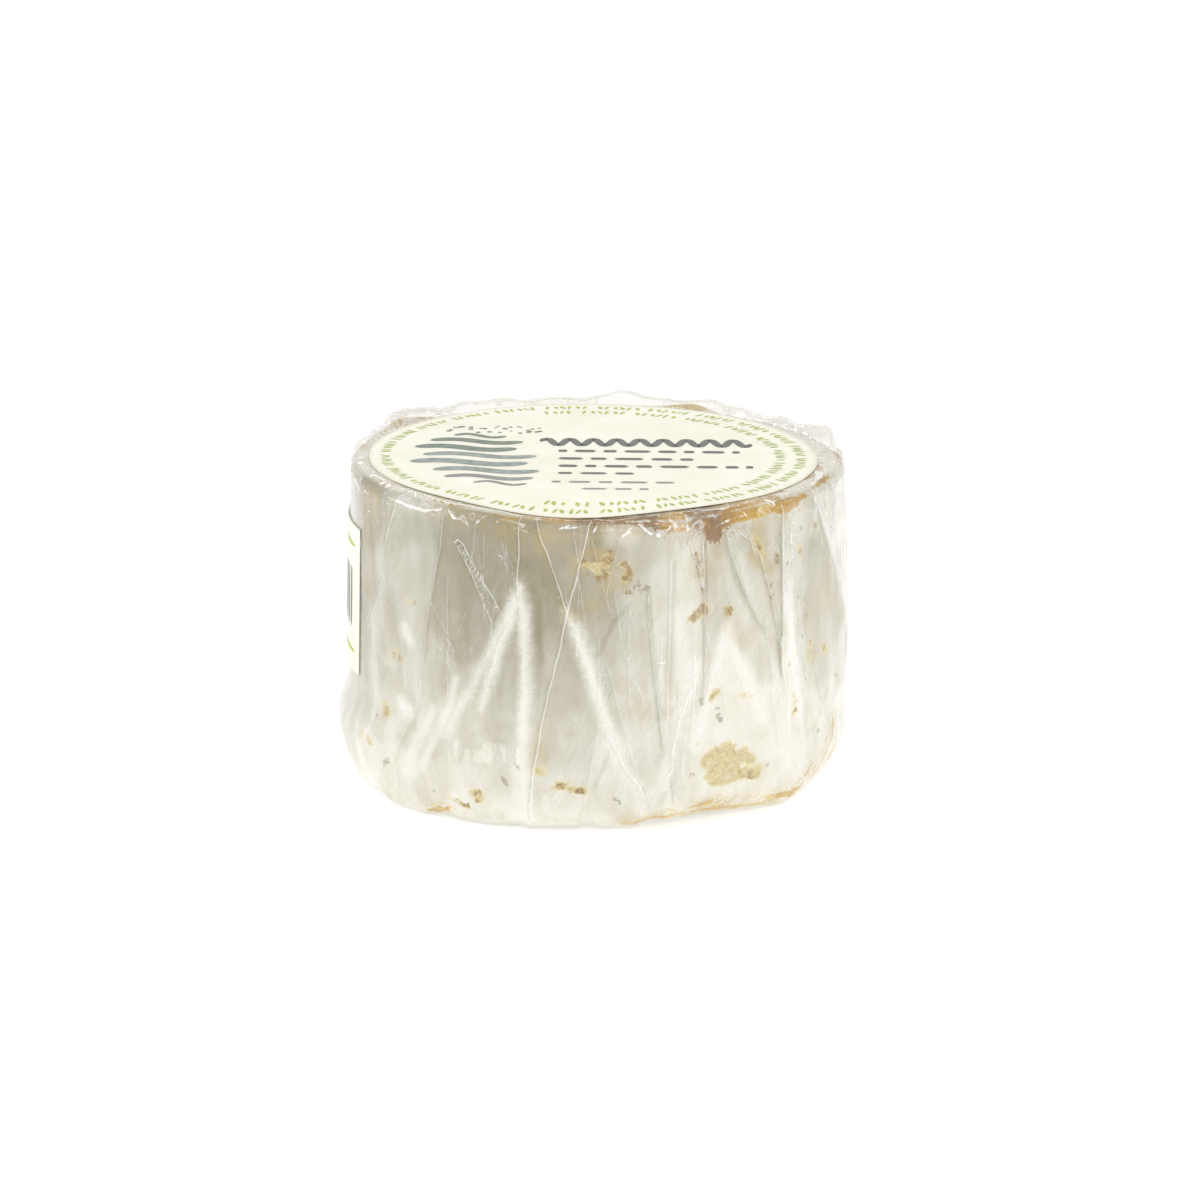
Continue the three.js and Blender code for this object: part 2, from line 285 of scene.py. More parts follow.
def top_height(angle, radius):
    """Height of the top, which leans, and hangs a little over the front edge."""
    lean = np.tan(np.radians(TOP_TILT)) * radius * sine(angle)
    hang = SAG * bell(turn(SAG_ANGLE, angle), SAG_SPREAD)
    sagging = ease(radius, TOP_LABEL_RADIUS * 2 / 3, RIM_RADIUS - TOP_EDGE)
    return WHEEL_HEIGHT - lean - hang * sagging


def foot_radius(angle):
    return FOOT_RADIUS + humps(angle, FOOT_BULGES)


def side_radius(angle, height):
    """Half width of the side at an angle and height, before folds."""
    belly = BELLY_RADIUS + SLUMP * cosine(angle - SLUMP_ANGLE)
    settled = between(belly, WAIST_RADIUS, ease(height, BELLY_HEIGHT, WAIST_HEIGHT))
    tapered = (height - WAIST_HEIGHT) / (WHEEL_HEIGHT - TOP_EDGE - WAIST_HEIGHT)
    upper = between(WAIST_RADIUS, RIM_RADIUS, tapered)
    return np.where(height < WAIST_HEIGHT, settled, upper) + lobes(angle)


def on_wheel(angle, radius, height):
    """Places from their angles, radii and heights."""
    return np.stack([radius * sine(angle), -radius * cosine(angle), height + 0 * angle], -1)


def off_wheel(places):
    """Angles, radii and heights of places."""
    x, y, height = np.moveaxis(places, -1, 0)
    return np.degrees(np.arctan2(x, -y)), np.hypot(x, y), height


def foot_ring(angle, share, folds, peaks):
    furrow = GATHER_DEPTH * gather_wave(angle) * ease(share, 0, GATHER_FULL)
    return on_wheel(angle, between(GATHER_INNER_RADIUS, foot_radius(angle), share), furrow)


def corner_ring(angle, share, folds, peaks):
    slope = np.radians(90 * share)
    radius = between(foot_radius(angle), side_radius(angle, BELLY_HEIGHT), np.sin(slope))
    height = BELLY_HEIGHT * (1 - np.cos(slope))
    rise = side_relief(angle, height, folds)
    lifted = np.maximum(0, height - rise * np.cos(slope))
    return on_wheel(angle, radius + rise * np.sin(slope), lifted)


def side_ring(angle, share, folds, peaks):
    height = between(BELLY_HEIGHT, WHEEL_HEIGHT - TOP_EDGE, share)
    radius = side_radius(angle, height) + side_relief(angle, height, folds)
    return on_wheel(angle, radius, height + (top_height(angle, radius) - WHEEL_HEIGHT) * share)


def edge_ring(angle, share, folds, peaks):
    slope = np.radians(90 * share)
    bump = PEAK_NORM * np.cos(slope) * np.sin(slope) ** 2
    rounding = TOP_EDGE + peaks * rim_peak(angle) * bump
    relief = side_relief(angle, WHEEL_HEIGHT, folds) * np.cos(slope)
    radius = RIM_RADIUS - TOP_EDGE + lobes(angle) + relief + rounding * np.cos(slope)
    return on_wheel(angle, radius, top_height(angle, radius) - TOP_EDGE + rounding * np.sin(slope))


def top_ring(angle, share, folds, peaks):
    reach = np.interp(share, *TOP_RINGS)
    radius = between(RIM_RADIUS - TOP_EDGE + lobes(angle), TOP_LABEL_RADIUS / 4, reach)
    return on_wheel(angle, radius, top_height(angle, radius))


def wheel_rings(sectors, steps, folds=1, peaks=np.ones_like):
    """Rings of places from the middle of the base to the middle of the top: an array of rings by
    sectors by 3. The sectors lie closer at the front. steps has the rings in each zone, and
    peaks says how much of the film's standing rim there is at each angle."""
    even = np.arange(sectors) * 360 / sectors
    angle = even - np.degrees(FRONT_CROWDING * sine(even))
    peaks = peaks(angle)
    zones = (foot_ring, corner_ring, side_ring, edge_ring, top_ring)
    rings = [
        zone(angle, step / count, folds, peaks)
        for zone, count in zip(zones, steps)
        for step in range(count)
    ]
    rings.append(top_ring(angle, 1, folds, peaks))
    return np.array(rings)


def outward(rings):
    """The direction straight out of the surface at each place."""
    round_the_wheel = np.roll(rings, -1, 1) - np.roll(rings, 1, 1)
    normal = np.cross(round_the_wheel, np.gradient(rings, axis=0))
    return normal / np.linalg.norm(normal, axis=-1, keepdims=True)


def uneven(places, size, seed, stretch=1):
    """Smooth noise from about -1 to 1 at each place. size is how large its lumps are, and
    stretch how much taller than wide."""
    scaled = places / (size * np.array([1, 1, stretch])) + seed
    values = [noise.noise(Vector(place)) for place in scaled.reshape(-1, 3)]
    return np.array(values).reshape(places.shape[:-1])


def make_piece(name, places, faces, *materials):
    """An object with a smooth mesh, from places in millimetres."""
    mesh = bpy.data.meshes.new(name)
    mesh.from_pydata((places * METRES).tolist(), [], faces)
    mesh.shade_smooth()
    for material in materials:
        mesh.materials.append(material)
    return put_in_scene(name, mesh)


def rings_piece(name, rings, caps, material, masks=None):
    """A closed mesh from rings of places, with a fan at each end. masks are vector attributes,
    each with a value for every place on the rings."""
    count, sectors = rings.shape[:2]
    here = np.arange(sectors)
    following = (here + 1) % sectors
    below = (np.arange(count - 1) * sectors)[:, None]
    above = below + sectors
    quads = np.stack([below + here, below + following, above + following, above + here], -1)
    first, last = count * sectors, count * sectors + 1
    top = (count - 1) * sectors
    faces = quads.reshape(-1, 4).tolist()
    faces += np.stack([np.full(sectors, first), following, here], -1).tolist()
    faces += np.stack([np.full(sectors, last), top + here, top + following], -1).tolist()
    piece = make_piece(name, np.concatenate([rings.reshape(-1, 3), caps]), faces, material)
    for mask, values in (masks or {}).items():
        flat = values.reshape(-1, 3)
        flat = np.concatenate([flat, [flat[:sectors].mean(0), flat[-sectors:].mean(0)]])
        attribute = piece.data.attributes.new(mask, "FLOAT_VECTOR", "POINT")
        attribute.data.foreach_set("vector", flat.astype(np.float32).ravel())
    return piece


def unrolled(angle, radius, height):
    """Height of a place as if the wheel's skin were rolled out flat: over the top edge it goes on
    rising towards the middle of the top, and under the foot it goes on falling."""
    inwards = np.maximum(0, RIM_RADIUS - TOP_EDGE / 3 + lobes(angle) - radius)
    under = np.maximum(0, foot_radius(angle) - radius)
    return height + inwards * (height > WHEEL_HEIGHT - TOP_EDGE * 2) - under * (height < TOP_EDGE)


MARK_REACH = 3  # no further outside than this do the edges of marks count
DOT_RUN = 0.01  # gives a mark of a single place some length
LEVEL_RISE = 1e-9  # and a level edge some rise


def from_line(line, angle, height):
    """Distance from a straight line between two places, negative to its left, and how far along
    it, from 0 to 1, its nearest place is."""
    along, across, length = along_line(line, angle, height)
    past = np.maximum(np.maximum(-along, along - length), 0)
    away = np.where(across < 0, -1, 1) * np.hypot(across, past)
    return away, np.clip(along / length, 0, 1)


def nearest_edge(angle, height, marks, reach=MARK_REACH):
    """How far inside the nearest of some marks a place lies, negative outside. A mark is a line
    of places, each with its angle, height and the half width of the mark there."""
    inside = np.full(angle.shape, -float(reach))
    for mark in marks:
        for start, end in zip(mark, mark[1:] or mark):
            away, share = from_line((*start[:2], end[0] + DOT_RUN, end[1]), angle, height)
            inside = np.maximum(inside, between(start[2], end[2], share) - np.abs(away))
    return inside


def inside_outline(angle, height, corners):
    """How far inside an outline a place lies, negative outside. Corners are angles, heights."""
    inside = np.zeros(angle.shape, bool)
    near = np.abs(turn(corners[0][0], angle)) < 90
    nearest = np.full(angle.shape, np.inf)
    for (start, low), (end, high) in zip(corners, corners[1:] + corners[:1]):
        away, _ = from_line((start, low, end, high), angle, height)
        nearest = np.minimum(nearest, np.abs(away))
        crossing = (low > height) != (high > height)
        rise = high - low + LEVEL_RISE
        reached = turn(start, angle) < turn(start, end) * (height - low) / rise
        inside ^= crossing & reached & near
    return np.where(inside, nearest, -nearest)


BLOOM_STRIPS = [  # where the bloom stands thick along a fold: angle, height, half width
    [(-17.3, 42.5, 0.4), (-16.3, 38, 0.8), (-15.9, 30, 0.6), (-15.8, 24, 0.7), (-16.5, 18, 1.1)],
    [(-16.5, 18, 1.1), (-15.6, 12, 0.9), (-15.1, 5, 0.6), (-15.2, 2, 0.4)],
    [(-17.8, 41, 0.7), (-19.6, 37.4, 1.1), (-22.4, 31.5, 0.7),
     (-24.4, 26.5, 0.5), (-26.4, 21, 0.3)],
    [(-21, 36, 0.5), (-24.4, 31, 0.4), (-28, 25.6, 0.3), (-32, 21, 0.4), (-36, 15.4, 0.3)],
    [(-33.4, 25, 0.1), (-35.4, 20, 0.6), (-39, 14, 0.6), (-41, 9, 0.2)],
    [(-6.6, 38.5, 0.2), (-4.6, 36, 0.9), (-2.8, 32, 1), (-0.9, 27, 0.9), (1, 22, 0.8)],
    [(1, 22, 0.8), (2.6, 17.5, 0.6), (5.2, 12.5, 0.5), (8, 9.5, 0.5),
     (9.6, 6.5, 0.5), (9.4, 4, 0.2)],
    [(30, 34.5, 0.3), (28, 29, 0.7), (25.4, 22, 0.8), (22.5, 15, 0.6)],
    [(30.5, 34, 0.3), (33.5, 28, 0.6), (37, 23, 0.5), (41, 17, 0.4)],
    [(22, 28, 0.3), (20.8, 24, 0.6), (18.5, 20.5, 0.5), (16.9, 16, 0.5), (16.4, 12.6, 0.4)],
    [(16.4, 12.6, 0.4), (14.5, 10, 0.5), (12.5, 7.5, 0.3)],
    [(47.6, 38.5, 0.2), (49.4, 33, 0.8), (50.4, 27, 1), (51.6, 22, 0.7), (53.5, 15, 0.4)],
    [(-40, 19, 0.4), (-43.5, 14, 0.8), (-46, 8, 0.6)],
    [(-49.5, 31.6, 0.7), (-47.2, 29.8, 0.5)],
    [(-50.5, 18.6, 0.8), (-48, 17.6, 1)],
    [(106, 42, 0.3), (104, 34, 0.9), (101, 25, 0.8), (97, 16, 0.4)],
    [(140, 40, 0.2), (142, 31, 0.8), (145, 22, 0.9), (149, 13, 0.5)],
    [(145, 22, 0.4), (141, 15, 0.6), (138, 9, 0.3)],
    [(186, 45, 0.3), (184.6, 36, 0.9), (184, 26, 0.8), (185, 14, 0.6), (184.6, 6, 0.3)],
    [(184.6, 36, 0.5), (189, 28, 0.5), (194, 20, 0.3)],
    [(212, 38, 0.2), (209, 28, 0.8), (207, 18, 0.6)],
    [(236, 40, 0.2), (238, 32, 0.7), (241, 24, 0.6), (245, 14, 0.4)],
]
STAINS_TAN = [
    [(25, 12.2, 1.4), (27.4, 12, 2.5), (29.6, 12.6, 2.3), (31, 13.6, 1.2)],
    [(26.8, 9.6, 2.1), (29.4, 8.8, 1.5), (33.4, 9.2, 1.2), (37, 8.4, 1.1), (38.6, 8, 0.8)],
    [(38.6, 9.6, 0.4), (39.4, 8.8, 0.3)],
    [(22.6, 15, 0.3), (23.2, 15.8, 0.3)],
    [(31, 11.4, 1.7), (34.4, 12.2, 1.4), (36.8, 11, 0.9)],
    [(30.2, 37.4, 0.6), (31, 36.9, 0.9)],
    [(-28.6, 6.2, 0.6), (-26.8, 6.5, 1), (-27, 5.2, 0.7)],
    [(-34.8, 4.6, 0.3), (-32.8, 4.2, 0.4), (-31, 3.7, 0.5), (-29.6, 3.6, 0.3)],
    [(50.6, 19.8, 0.3), (51.8, 18.8, 0.4), (50.8, 18, 0.2)],
    [(51.9, 17.6, 0.4), (50.4, 16.8, 0.4)],
    [(-12.6, 11.6, 0.7), (-11.2, 11.1, 0.5)],
    [(-9.5, 8.8, 0.5), (-8.2, 9.1, 0.9), (-6.8, 9.2, 0.5), (-4.6, 8.3, 0.6), (-2.8, 8.4, 0.7)],
    [(-4.2, 46.8, 0.5), (-1.5, 46, 0.8), (0.6, 46, 1.1), (3, 47.6, 0.9)],
    [(0.2, 44.4, 0.8), (2, 44.6, 0.8)],
    [(5.4, 46.6, 0.5), (7.4, 45.4, 0.7), (6.2, 44, 0.7)],
    [(21.2, 36.6, 0.7), (22.4, 37.2, 0.8), (24.4, 38.2, 1)],
    [(26.2, 22.6, 0.6), (27.2, 23.4, 0.6), (28.2, 23.8, 0.4)],
    [(38, 48.6, 0.5), (39.6, 46.6, 0.7), (40.8, 45, 0.4)],
    [(53.2, 45, 0.5), (53.8, 44, 0.7)],
    [(57.6, 28, 0.5), (58, 26, 0.5), (58.2, 24.8, 0.3)],
    [(62.6, 25.4, 0.5), (64.6, 25.6, 0.9), (66.4, 24.8, 0.4)],
    [(-53.8, 26, 0.5), (-52.2, 27.2, 0.5), (-50.6, 26.2, 0.5)],
    [(-48.4, 36.3, 0.5), (-46.6, 36.6, 0.4)],
    [(-57, 17.2, 0.7), (-55.6, 16.4, 1)],
    [(-65, 10.6, 0.5), (-63.6, 10.8, 0.6)],
    [(-60.6, 11, 0.8), (-58.6, 10.4, 0.7)],
    [(33, 22.2, 0.3), (35, 22.3, 0.4), (37, 21.9, 0.2)],
    [(99, 43.6, 0.5), (101.6, 43, 0.9), (104.6, 42.8, 0.5)],
    [(121.6, 12.4, 1.2), (124.6, 11.8, 1.9), (127.6, 11.9, 1.3)],
    [(134.6, 33.4, 0.6), (134.9, 31.2, 0.5)],
    [(160.4, 9.6, 0.5), (163, 9.2, 0.7), (165.8, 9.3, 0.4)],
    [(170.6, 41.2, 0.5), (173, 41.4, 1.1)],
    [(174.4, 39.4, 0.5)],
    [(197.6, 12.8, 0.7)],
    [(203, 38.2, 0.4), (203.4, 35.4, 0.3)],
    [(222.4, 9.4, 0.6), (226, 9, 1.2), (227.4, 8.6, 0.9)],
    [(251.6, 24.6, 0.4), (251.9, 22.4, 0.6)],
]
STAINS_BROWN = [
    [(2, 46.9, 0.5), (3.4, 47.4, 0.55), (3.2, 48.5, 0.35)],
    [(-0.6, 47.2, 0.2), (1.2, 47.1, 0.25)],
    [(0.2, 44.3, 0.6), (1.9, 44.5, 0.5), (1.2, 45.4, 0.35)],
    [(5.6, 46.6, 0.3), (7, 46, 0.4), (7.5, 45, 0.5), (6.4, 44.1, 0.55)],
    [(-3.9, 47, 0.4), (-2.6, 46.8, 0.35)],
    [(-2.4, 44.7, 0.25)],
    [(6.2, 41.9, 0.3), (7.4, 41.8, 0.3)],
    [(21.4, 36.6, 0.4), (22.6, 37.3, 0.5), (23.8, 38.3, 0.8), (24.6, 37.8, 0.6)],
    [(30.6, 37.2, 0.7), (31.2, 36.6, 0.5)],
    [(22.2, 47.6, 0.35), (22.8, 46, 0.25), (23.4, 43.8, 0.3)],
    [(23.6, 42.2, 0.22), (23.8, 41, 0.25)],
    [(44.9, 45, 0.3), (45.2, 43.7, 0.45)],
    [(43.3, 39.7, 0.3)],
    [(43.7, 37.8, 0.35)],
    [(53.8, 44, 0.4)],
    [(59.2, 47.5, 0.35)],
    [(57.9, 27.9, 0.3)],
    [(64.4, 25.9, 0.4)],
    [(39, 47.6, 0.35), (39.8, 46.4, 0.3)],
    [(-8.6, 8.9, 0.1), (-7.8, 9.2, 0.3)],
    [(-5.9, 8.5, 0.15)],
    [(-4.4, 8.2, 0.1), (-3.2, 8.2, 0.25)],
    [(-27.6, 6.2, 0.2), (-26.4, 6.7, 0.35)],
    [(-27.4, 5, 0.15)],
    [(-33.6, 4.4, 0.05), (-31, 3.8, 0.1), (-30, 3.9, 0.15)],
    [(-53.2, 26.3, 0.3), (-51.4, 26.1, 0.4)],
    [(26.6, 23.2, 0.1)],
    [(28.4, 10.4, 0.3)],
    [(35.6, 8.6, 0.3), (36.8, 8, 0.5)],
    [(33.4, 9.4, 0.3)],
    [(51.6, 17.2, 0.25)],
    [(101.4, 43.2, 0.4), (102.9, 42.9, 0.4)],
    [(126.6, 11, 0.5)],
    [(134.7, 33, 0.3)],
    [(161, 9.5, 0.3), (163.4, 9.2, 0.4)],
    [(172.6, 41.2, 0.4), (173.8, 41.6, 0.5)],
    [(197.8, 12.8, 0.3)],
    [(203.2, 37.6, 0.25)],
    [(225, 9.2, 0.3), (227, 8.8, 0.5)],
    [(251.7, 23, 0.3)],
]
STAINS_GREY = [
    [(-7.4, 47.2, 0.4)],
    [(8.6, 42.7, 0.4), (9.4, 43.2, 0.3)],
    [(9.6, 41.9, 0.25), (11.3, 42.4, 0.4)],
    [(0.9, 40.9, 0.25)],
    [(-21, 9.7, 0.3), (-20, 9, 0.35)],
    [(-17.6, 12.4, 0.2), (-17.1, 11.7, 0.2)],
    [(27.8, 20.9, 0.2)],
    [(27.9, 19.6, 0.3), (28.6, 18.7, 0.4)],
    [(23.5, 22.8, 0.25), (24, 22.1, 0.3)],
    [(-46.2, 36.4, 0.35)],
    [(-58.6, 15, 0.25)],
    [(4, 6.8, 0.22), (4.8, 6, 0.25)],
    [(21.2, 10.3, 0.3)],
    [(41.3, 9.2, 0.25)],
    [(49.5, 25.3, 0.25)],
    [(54, 47.9, 0.25)],
    [(48.2, 43, 0.25)],
    [(54, 39.3, 0.25)],
    [(52.6, 36.6, 0.22)],
    [(56.6, 34.9, 0.24), (56.9, 34.7, 0.2)],
    [(56.3, 32.9, 0.26)],
    [(54.4, 29.3, 0.28)],
    [(49.4, 45.8, 0.2)],
    [(61, 12, 0.3)],
    [(71.5, 19.6, 0.3), (73.6, 18.8, 0.3)],
    [(-38.6, 5.2, 0.3)],
    [(-54, 7.8, 0.4), (-52.4, 8.4, 0.3)],
]
EDGE_OCHRE_AND_SHADOW = [  # where the bloom is worn down to the ochre: the top edge, then the bottom edge
    [(3, 54.6, 0.2), (9, 53.8, 0.5), (13, 53.2, 0.8), (17, 52.5, 1), (20, 52.2, 0.5)],
    [(12, 55.4, 0.6), (17, 54.8, 1.2), (20, 54.4, 0.8)],
    [(21.5, 52.6, 0.6), (24.6, 52.4, 1.4), (27, 51.4, 2.1), (28.4, 52, 1.6),
     (31, 52.6, 1.4), (36, 53, 1.3)],
    [(27, 51, 0.8), (27.4, 49.6, 0.4)],
    [(24.6, 52, 0.5), (25, 49.6, 0.3)],
    [(36, 53, 1.3), (43, 53.2, 1.2), (48, 53, 1.4), (52, 53, 1.2), (56.5, 53.6, 0.7)],
    [(22, 54.6, 0.6), (27, 55, 1.2), (34, 55.6, 1.3), (42, 56, 1), (49, 55.4, 0.5)],
    # These two run just under the top label's front edge: partly ochre, partly the label's painted
    # shadow.
    [(-24, 57.4, 0.3), (-17, 56.4, 0.8), (-9, 56, 1.1), (0, 55.8, 1),
     (8, 56, 0.9), (20, 56.6, 1.1)],
    [(20, 56.6, 1.1), (30, 57.2, 1.2), (42, 57.4, 1.2), (54, 57.2, 0.6)],
    [(60, 54.2, 0.2), (65, 54.4, 0.5), (72, 54.8, 0.6), (77, 55.4, 0.2)],
    [(68, 57.4, 0.3), (76, 57, 0.6), (84, 57.6, 0.3)],
    [(-24.5, 54.8, 0.2), (-21.5, 54.2, 0.6), (-18.5, 54.6, 0.4)],
    [(-21.5, 54.2, 0.4), (-22, 52.8, 0.3)],
    [(-18, 54.8, 0.3), (-11, 54.4, 0.4), (-5, 54.2, 0.5), (2, 54.4, 0.4)],
    [(-42, 56, 0.15), (-37, 55.4, 0.3), (-34, 55.6, 0.15)],
    [(-96, 55.6, 0.2), (-104, 55, 0.5), (-110, 55.4, 0.3)],
    [(-113, 56, 0.2), (-118, 55.6, 0.5), (-124, 56, 0.3)],
    [(-130, 55.2, 0.3), (-137, 55, 0.5), (-142, 55.6, 0.3)],
    [(151, 55.6, 0.5), (156, 55.2, 1), (161, 55.6, 0.7)],
    [(-168, 54, 0.8), (-160, 53.4, 1.3), (-152, 53.8, 0.7)],
    [(94, 53.6, 0.5), (104, 53, 1.2), (113, 53.8, 0.7)],
    [(6, 1.2, 0.1), (12, 1.8, 0.3), (18, 2.3, 0.5), (24, 2.6, 0.3), (30, 2.4, 0.5), (36, 1.8, 0.4)],
    [(14, 3.2, 0), (17, 3.7, 0.2), (20, 3.4, 0.1), (23, 3.9, 0.2), (27, 3.6, 0.1)],
    [(27, 3.6, 0.1), (31, 3.9, 0.2), (35, 3.3, 0), (39, 3.6, 0.2), (43, 3, 0.2)],
    [(22, 4.6, 0.1), (25, 4.2, 0.3), (29, 4.8, 0.1)],
    [(36, 1.8, 0.4), (42, 1.4, 0.5), (46, 1.8, 0.4)],
    [(43, 3, 0.3), (47, 2.6, 0.4), (50.4, 2.2, 0.8), (53, 1.9, 1.1), (56, 2.4, 0.7)],
    [(54, 4, 0.3), (57, 5, 0.4), (59, 6.4, 0.3)],
    [(59, 4.4, 0.2), (61, 5.6, 0.4), (62.4, 6.4, 0.1)],
    [(63, 7.6, 0.1), (65, 9, 0.3), (66, 10, 0.1)],
    [(61, 3.2, 0.2), (64, 4.4, 0.4), (66, 6, 0.5), (68, 7.4, 0.2)],
    [(69, 9, 0.15), (70, 10.6, 0.3), (70.4, 12, 0.1)],
    [(67, 3.4, 0.2), (71, 5, 0.4), (75, 8, 0.2)],
    [(-42, 0.9, 0.4), (-39, 1.3, 0.7), (-36, 2.3, 0.5)],
    [(82, 2.6, 0.2), (88, 2.2, 0.5), (96, 3, 0.7), (104, 2, 0.3)],
    [(108, 1.6, 0.3), (116, 2.2, 0.5), (122, 1.6, 0.3)],
    [(130, 1.6, 0.3), (138, 2.6, 0.6), (145, 2, 0.5), (151, 2.4, 0.2)],
    [(168, 2, 0.3), (177, 2.6, 0.5), (184, 2.2, 0.6), (192, 1.6, 0.3)],
    [(200, 2.4, 0.3), (207, 1.8, 0.5), (212, 2.2, 0.2)],
    [(-142, 1.8, 0.3), (-132, 2.4, 0.6), (-124, 1.8, 0.4)],
    [(-102, 2, 0.3), (-92, 2.6, 0.5), (-85, 2, 0.3)],
]
OCHRE_BROWNED = [  # angle, half width, how brown
    (1, 9, 0.6),
    (12, 4, 0.7),
    (26, 5, 1),
    (-26, 4, 0.6),
    (104, 8, 0.5),
]
BROWNED_HEIGHTS = (14, 40)
OCHRE_FADED = [(19, 2, 0.6), (42, 4, 0.6), (-110, 12, 0.5), (156, 8, 0.9)]  # the same, how pale
FOOT_FADED = 0.45
FADED_HEIGHTS = (14, 8)
YELLOWED = [  # soft yellowish patches: how strong, then the patch
    (1, [(151, 55.4, 1.6), (162, 55.4, 1.6)]),
    (0.4, [(-44, 53.4, 1.2), (-30, 52.6, 1.6), (-10, 52.6, 2), (8, 53, 1.4)]),
    (0.4, [(-11, 50, 2), (-4, 46, 4), (-4, 40, 2.6)]),
    (0.3, [(-63, 50, 3), (-66, 42, 2.6), (-67, 34, 1.4)]),
    (0.3, [(24, 50, 2.4), (27, 45, 2)]),
    (0.4, [(-12.2, 18, 1), (-12.8, 13, 1.2)]),
    (0.25, [(6, 2.4, 1), (24, 3.2, 1.4), (44, 2.6, 1.4), (56, 3.6, 1.4)]),
    (0.7, [(-3, 46.6, 2), (1.5, 45.6, 3.2), (5, 44.6, 2)]),
    (0.35, [(-2.4, 41, 1.6), (0.6, 40.6, 1.6)]),
    (0.4, [(7, 26, 2.4), (9, 23, 2.6)]),
    (0.7, [(39, 49.6, 1.2), (40, 46, 2.2), (42.4, 43.6, 1)]),
    (0.4, [(43.6, 42, 1), (44, 37, 1)]),
    (0.35, [(32, 35, 1.6), (35, 32.4, 1.6)]),
    (0.35, [(64, 35, 2.4), (67, 33, 2)]),
    (0.3, [(-64, 50.4, 3), (-69, 48, 3)]),
    (0.3, [(-10, 52, 4), (-22, 52, 4)]),
    (0.4, [(15.8, 26, 0.8), (16, 22, 0.8)]),
    (0.4, [(57, 32, 1.6), (58.6, 26, 1.6)]),
    (0.4, [(22, 49, 0.7), (23, 44, 0.8)]),
    (0.5, [(24.4, 52, 1.4), (28, 51, 1.6)]),
    (0.4, [(126, 44, 3), (128, 36, 3)]),
    (0.4, [(178, 22, 4), (184, 18, 3)]),
    (0.4, [(-140, 42, 3), (-136, 38, 3)]),
]
YELLOWED_EDGE = (-1.5, 0.5)
DAMP_ZONES = [  # where the film lies close on the rind: angle, half width, how damp
    (-21, 19, 0.6),
    (-3, 10, 0.4),
    (-50, 14, 0.1),
    (-68, 9, 0.5),
    (64, 10, 0.12),
    (128, 16, 0.3),
    (176, 22, 0.45),
    (-126, 18, 0.35),
]
DAMP_EVERYWHERE = 0.34
DAMP_LEAST = 0.05
DAMP_HEIGHTS = (0, 52)
DRY_ANGLE, DRY_HALF_WIDTH, DRY_SHARE = 75, 24, 0.16
OVER_RIM = (54, 56)  # unrolled heights over which the side passes into the top
TOP_DRYNESS = 0.9
MOST_DAMP = 1.8  # above 1 the rind is as damp, and darker
